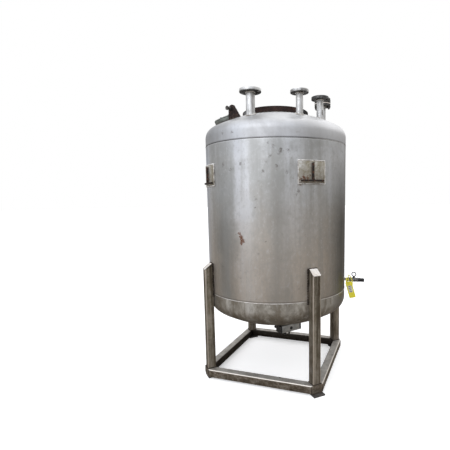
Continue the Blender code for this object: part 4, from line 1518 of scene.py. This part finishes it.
def makeActuator():
    place = outletPlace()
    half, tall = outlet["length"] / 2, outlet["height"] / 2
    near = -outlet["near"]
    far = near + outlet["depth"]
    bm = bmesh.new()
    addBlock(bm, (-half, near, -tall), (half, far, tall))
    moveAll(softEdges(bm, outlet["bodyRound"], 3), place)
    addPiece("actuatorBody", bm, "aluminium", "actuator_aluminium", "actuator_body")
    screws = bmesh.new()
    inset = outlet["screwInset"]
    for hand, name in ((-1, "left"), (1, "right")):
        bm = bmesh.new()
        end = hand * (half + outlet["cap"])
        ends = sorted((hand * (half + hair), end))
        addBlock(bm, (ends[0], near, -tall), (ends[1], far, tall))
        moveAll(softEdges(bm, outlet["capRound"], 3), place)
        addPiece("actuatorCap_" + name, bm, "blackPaint", "black_coating", "actuator_cap_" + name)
        sideways = Matrix.Rotation(hand * math.pi / 2, 4, "Y")
        for y in (near + inset, far - inset):
            for z in (inset - tall, tall - inset):
                addScrew(screws, place @ movedTo(end, y, z) @ sideways, 0.0042, 0.0019, 0.0022)
    addPiece("actuatorScrews", softEdges(screws, fineEdge, 1, 40.0), "darkSteel", "dark_steel")
    face = place @ movedTo(0.0, near, 0.0) @ lying
    r = outlet["indicator"]
    profile = [(0.0, 0.0065), (r * 0.35, 0.0065), (r * 0.8, 0.0055), (r, 0.0035), (r, -0.001), (0.0, -0.001)]
    bm = spun(profile, 40, closed=False, place=face)
    addBlock(bm, (-r * 0.75, -0.0016, 0.004), (r * 0.75, 0.0016, 0.0078), face)
    addPiece("positionIndicator", bm, "blackPaint", "black_coating")
    bm = bmesh.new()
    for x, r in outlet["fittings"]:
        at = place @ movedTo(x, near + 0.018, -tall) @ flipped
        addRod(bm, r * 0.95, -0.001, 0.006, 6, at)
        addRod(bm, r * 0.85, 0.006, 0.017, 24, at)
        addRod(bm, r, 0.017, 0.021, 24, at)
    addPiece("airFittings", softEdges(bm, smallEdge, 1, 40.0), "blackPaint", "black_coating")


# Sample valve on the right and its ring handle
sample = {
    "angle": 45.0,
    "height": 0.713,
    "nippleRadius": 0.0107,
    "start": 0.577,
    "end": 0.640,
    "capEnd": 0.684,
    "bodyRadius": 0.0165,
    "stem": 0.608,
    "stemTop": 0.022,
    "ring": 0.015,
    "wire": 0.0035,
    "ribs": 6,
    "neck": 0.0120,
    "rib": 0.0144,
    "hexagon": 0.0140,
    "threads": 6,
    "threadPitch": 0.0024,
    "threadDepth": 0.0009,
    "nut": 0.0160,
    "weld": 0.0026,
}


def makeSampleValve():
    place = movedTo(0.0, 0.0, sample["height"]) @ turned(sample["angle"]) @ lying
    start, end = sample["start"], sample["end"]
    r, thick = sample["nippleRadius"], sample["bodyRadius"]
    begin = tankRadius + hair
    root = r - sample["threadDepth"]
    profile = [(0.0, begin), (r, begin), (r, start - 0.016)]
    for i in range(sample["threads"]):
        z = start - 0.015 + sample["threadPitch"] * i
        profile += [(r, z), (root, z + sample["threadPitch"] / 2)]
    profile += [(root, start), (0.0, start)]
    bm = spun(profile, 40, closed=False, place=place)
    addPiece("sampleNipple", bm, "speckledSteel", "vessel_steel", "sample_nipple")
    bm = bmesh.new()
    path = [place @ point for point in ringOf(r + 0.0012, begin + 0.0015, 48)]
    addBead(bm, path, sample["weld"], cyclic=True)
    addPiece("nippleWeld", bm, "brightWeld", "vessel_steel")
    bm = bmesh.new()
    addRod(bm, sample["nut"], start - 0.0135, start - 0.0015, 6, place)
    addPiece("nippleNut", softEdges(bm, castEdge, 2, 25.0), "darkSteel", "dark_steel")
    # The body: a hexagon at each end and a barrel between them
    bm = bmesh.new()
    start += hair
    addRod(bm, thick, start, start + 0.013, 6, place)
    addRod(bm, thick, end - 0.012, end, 6, place)
    softEdges(bm, castEdge, 2, 25.0)
    halfway = (start + end) / 2
    barrel = [(0.0, start + 0.012), (sample["hexagon"], start + 0.013), (thick - 0.0005, halfway - 0.010)]
    barrel += [(thick, halfway), (thick - 0.0005, halfway + 0.010)]
    barrel += [(sample["hexagon"], end - 0.013), (0.0, end - 0.011)]
    spun(barrel, 36, closed=False, place=place, into=bm)
    addPiece("sampleBody", bm, "speckledSteel", "dark_steel", "sample_valve")
    foot = outward(sample["angle"]) * sample["stem"]
    bm = bmesh.new()
    addRod(bm, 0.0085, thick - 0.003, thick + 0.0008, 24, movedTo(foot.x, foot.y, sample["height"]))
    addPiece("stemSeat", softEdges(bm, screwEdge, 1), "darkSteel", "dark_steel")
    # The cap: a collar, then ribs to grip
    profile = [(0.0, end + hair), (0.0135, end + hair), (0.0150, end + 0.002)]
    profile += [(0.0150, end + 0.011), (0.0125, end + 0.013)]
    top, neck, rib = sample["capEnd"], sample["neck"], sample["rib"]
    pitch = (top - 0.004 - end - 0.014) / sample["ribs"]
    for i in range(sample["ribs"]):
        z = end + 0.014 + pitch * i
        profile += [(neck, z), (rib, z + pitch * 0.25), (rib, z + pitch * 0.7), (neck, z + pitch * 0.95)]
    profile += [(0.0125, top - 0.003), (0.0115, top), (0.0, top)]
    bm = spun(profile, 40, closed=False, place=place)
    addPiece("sampleCap", bm, "blackPaint", "black_coating", "sample_cap")


def makeSampleHandle():
    # The ring stands on edge over the valve, on a stem that goes down into the seat
    foot = outward(sample["angle"]) * sample["stem"]
    low = sample["height"] + sample["stemTop"]
    centre = low + sample["ring"] + sample["wire"]
    bm = bmesh.new()
    wire = bmesh.ops.create_circle(bm, segments=14, radius=sample["wire"])["verts"]
    moveAll(bm, movedTo(sample["ring"], 0.0, 0.0) @ lying)
    swept(bm, wire + list(bm.edges), 48)
    onEdge = turned(sample["angle"]) @ Matrix.Rotation(math.pi / 2, 4, "Y")
    moveAll(bm, movedTo(foot.x, foot.y, centre) @ onEdge)
    base = movedTo(foot.x, foot.y, 0.0)
    start = sample["height"] + sample["bodyRadius"] + 0.001
    addRod(bm, 0.0060, start, low + 0.004, 24, base)
    addRod(bm, 0.0085, low - 0.0042, low - 0.0004, 6, base)
    addPiece("ringHandle", bm, "blackPaint", "black_coating", "sample_handle", body="handle")


# Yellow tag that hangs from the sample valve's pipe
tag = {
    "width": 0.048,
    "height": 0.125,
    "thick": 0.002,
    "round": 0.008,
    "drop": 0.0165,
    "reach": 0.569,
    "tilt": 16.0,
    "side": 0.0128,
    "panelWidth": 0.030,
    "panelTop": 0.030,
    "panelFoot": 0.082,
    "lines": 4,
    "lineHalf": 0.0022,
    "tieWire": 0.0032,
    "tieSteps": 28,
    "tieCentre": (-0.018, 0.008),
    "tieReach": (0.012, 0.042),
}


def makeTag():
    bm = softEdges(copyOf("tag_strap"), fineEdge, 1, 50.0)
    addPiece("tagStrap", bm, "tagYellow", "tag_yellow", "tag_strap")
    # Worked out flat, y towards the tank and z up from the top edge, then hung aslant
    hung = movedTo(0.0, -tag["reach"], sample["height"] - tag["drop"])
    place = turned(sample["angle"]) @ hung @ Matrix.Rotation(math.radians(-tag["tilt"]), 4, "X")
    half = tag["width"] / 2
    back = -tag["side"]
    front = back - tag["thick"]
    bm = bmesh.new()
    addBlock(bm, (front, -half, -tag["height"]), (back, half, 0.0))
    bevelled(bm, edgesAlong(bm, 0, 0.001), tag["round"], 5)
    moveAll(bm, place)
    addPiece("tagPlate", softEdges(bm, fineEdge, 1, 60.0), "tagYellow", "tag_yellow", "tag")
    wide, top, foot = tag["panelWidth"] / 2, tag["panelTop"], tag["panelFoot"]
    bm = bmesh.new()
    addBlock(bm, (front - 0.0005, -wide, -foot), (front + 0.0002, wide, -top), place)
    addPiece("tagPanel", bm, "tagPaper", "tag_yellow")
    bm = bmesh.new()
    pitch = (foot - top) / tag["lines"]
    for i in range(tag["lines"]):
        height = -top - pitch * (i + 0.5)
        edge = wide - (0.005 if i % 2 else 0.009)
        bottom, above = height - tag["lineHalf"], height + tag["lineHalf"]
        addBlock(bm, (front - 0.0008, -edge, bottom), (front - 0.0003, edge, above), place)
    addPiece("tagLines", bm, "inkGrey", "tag_yellow")
    # Plastic tie that stands up beside the valve
    bm = bmesh.new()
    path = []
    for i in range(tag["tieSteps"]):
        turn = 2 * math.pi * i / tag["tieSteps"]
        y = tag["tieCentre"][0] + tag["tieReach"][0] * math.cos(turn)
        z = tag["tieCentre"][1] + tag["tieReach"][1] * math.sin(turn)
        path.append(place @ Vector((front - tag["tieWire"], y, z)))
    addBead(bm, path, tag["tieWire"], 0.004, cyclic=True, ripple=0.0, sides=3)
    addPiece("tagTie", bm, "tagYellow", "tag_yellow")


# Floor, light and air round the tank
studio = {
    "floorSize": 60.0,
    "floorColour": (0.96, 0.96, 0.96),
    "floorGlow": 0.40,
    "groundTone": (0.29, 0.26, 0.225),
    "brightSide": (-0.84, -0.48, 0.36),
    "backSide": (0.90, 0.42, 0.20),
    "dim": (0.17, 0.16, 0.15),
    "mid": (0.57, 0.57, 0.57),
    "bright": (1.22, 1.27, 1.38),
    "back": (1.05, 1.05, 1.06),
    "strength": 1.0,
    "aim": (0.0, 0.0, 0.9),
    "lights": [
        {"name": "keyLight", "place": (-4.2, -3.0, 4.2), "size": 4.0, "power": 62.0},
        {"name": "topLight", "place": (-0.6, 0.4, 6.0), "size": 5.0, "power": 44.0},
    ],
}


def makeFloor():
    bm = bmesh.new()
    bmesh.ops.create_circle(bm, cap_ends=True, segments=96, radius=studio["floorSize"])
    mesh = bpy.data.meshes.new("studioFloor")
    bm.to_mesh(mesh)
    bm.free()
    floor = bpy.data.objects.new("studioFloor", mesh)
    bpy.context.scene.collection.objects.link(floor)
    material = bpy.data.materials.new("studioFloor")
    material.use_nodes = True
    tree = material.node_tree
    shader = tree.nodes["Principled BSDF"]
    seen = addNode(tree, "LightPath").outputs["Is Camera Ray"]
    feed(tree, shader.inputs["Roughness"], 0.9)
    feed(tree, shader.inputs["Specular IOR Level"], 0.0)
    colour = blended(tree, seen, studio["groundTone"], studio["floorColour"])
    feed(tree, shader.inputs["Base Color"], colour)
    feed(tree, shader.inputs["Emission Color"], (1.0, 1.0, 1.0))
    feed(tree, shader.inputs["Emission Strength"], times(tree, seen, studio["floorGlow"]))
    mesh.materials.append(material)


def facing(tree, way, side):
    # How far a direction of the air points to one side, from -1 to 1
    return vectorCalc(tree, "DOT_PRODUCT", way, tuple(Vector(side).normalized()), output="Value")


def makeAir():
    world = bpy.data.worlds.new("studioAir")
    bpy.context.scene.world = world
    world.use_nodes = True
    tree = world.node_tree
    way = addNode(tree, "TexCoord").outputs["Generated"]
    side = facing(tree, way, studio["brightSide"])
    tones = [(0.0, studio["dim"]), (0.58, studio["mid"]), (1.0, studio["bright"])]
    tone = ramped(tree, limits(tree, side, -1.0, 1.0), tones)
    # Pale air behind the tank and above the horizon, which the top head mirrors
    behind = facing(tree, way, studio["backSide"])
    height = addNode(tree, "SeparateXYZ", {"Vector": way}).outputs["Z"]
    glow = times(tree, limits(tree, behind, 0.2, 0.9), limits(tree, height, 0.08, 0.35))
    tone = blended(tree, glow, tone, studio["back"], "ADD")
    seen = addNode(tree, "LightPath").outputs["Is Camera Ray"]
    air = tree.nodes["Background"]
    feed(tree, air.inputs["Color"], blended(tree, seen, tone, (1.0, 1.0, 1.0)))
    feed(tree, air.inputs["Strength"], studio["strength"])


def makeLights():
    for lamp in studio["lights"]:
        data = bpy.data.lights.new(lamp["name"], "AREA")
        data.energy = lamp["power"]
        data.size = lamp["size"]
        light = bpy.data.objects.new(lamp["name"], data)
        bpy.context.scene.collection.objects.link(light)
        aim = Vector(studio["aim"]) - Vector(lamp["place"])
        light.matrix_world = movedTo(*lamp["place"]) @ aim.to_track_quat("-Z", "Y").to_matrix().to_4x4()


makeCamera()
makeFloor()
makeAir()
makeLights()
bpy.context.scene.view_settings.view_transform = "Standard"
print("camera, floor and lights made")

finishes = {}
for makeFinish, looks in (
    (steelMaterial, {**shellLooks(), **headLooks(), **nozzleLooks(), **standLooks()}),
    (rustMaterial, rustLooks),
    (plainMaterial, plainLooks),
    (weldMaterial, weldLooks),
):
    for name, look in looks.items():
        finishes[name] = makeFinish(name, look)
print("materials made")

makeVessel()
makeSeams()
makeNozzles()
makeBlind()
makeMixerRing()
makeHandHole()
makeLug()
print("vessel and top fittings made")

makeBrackets()
makeLegs()
makeRails()
makeFeet()
print("brackets and stand made")

makeOutlet()
makeActuator()
makeSampleValve()
makeSampleHandle()
makeTag()
print("outlet, sample valve and tag made")
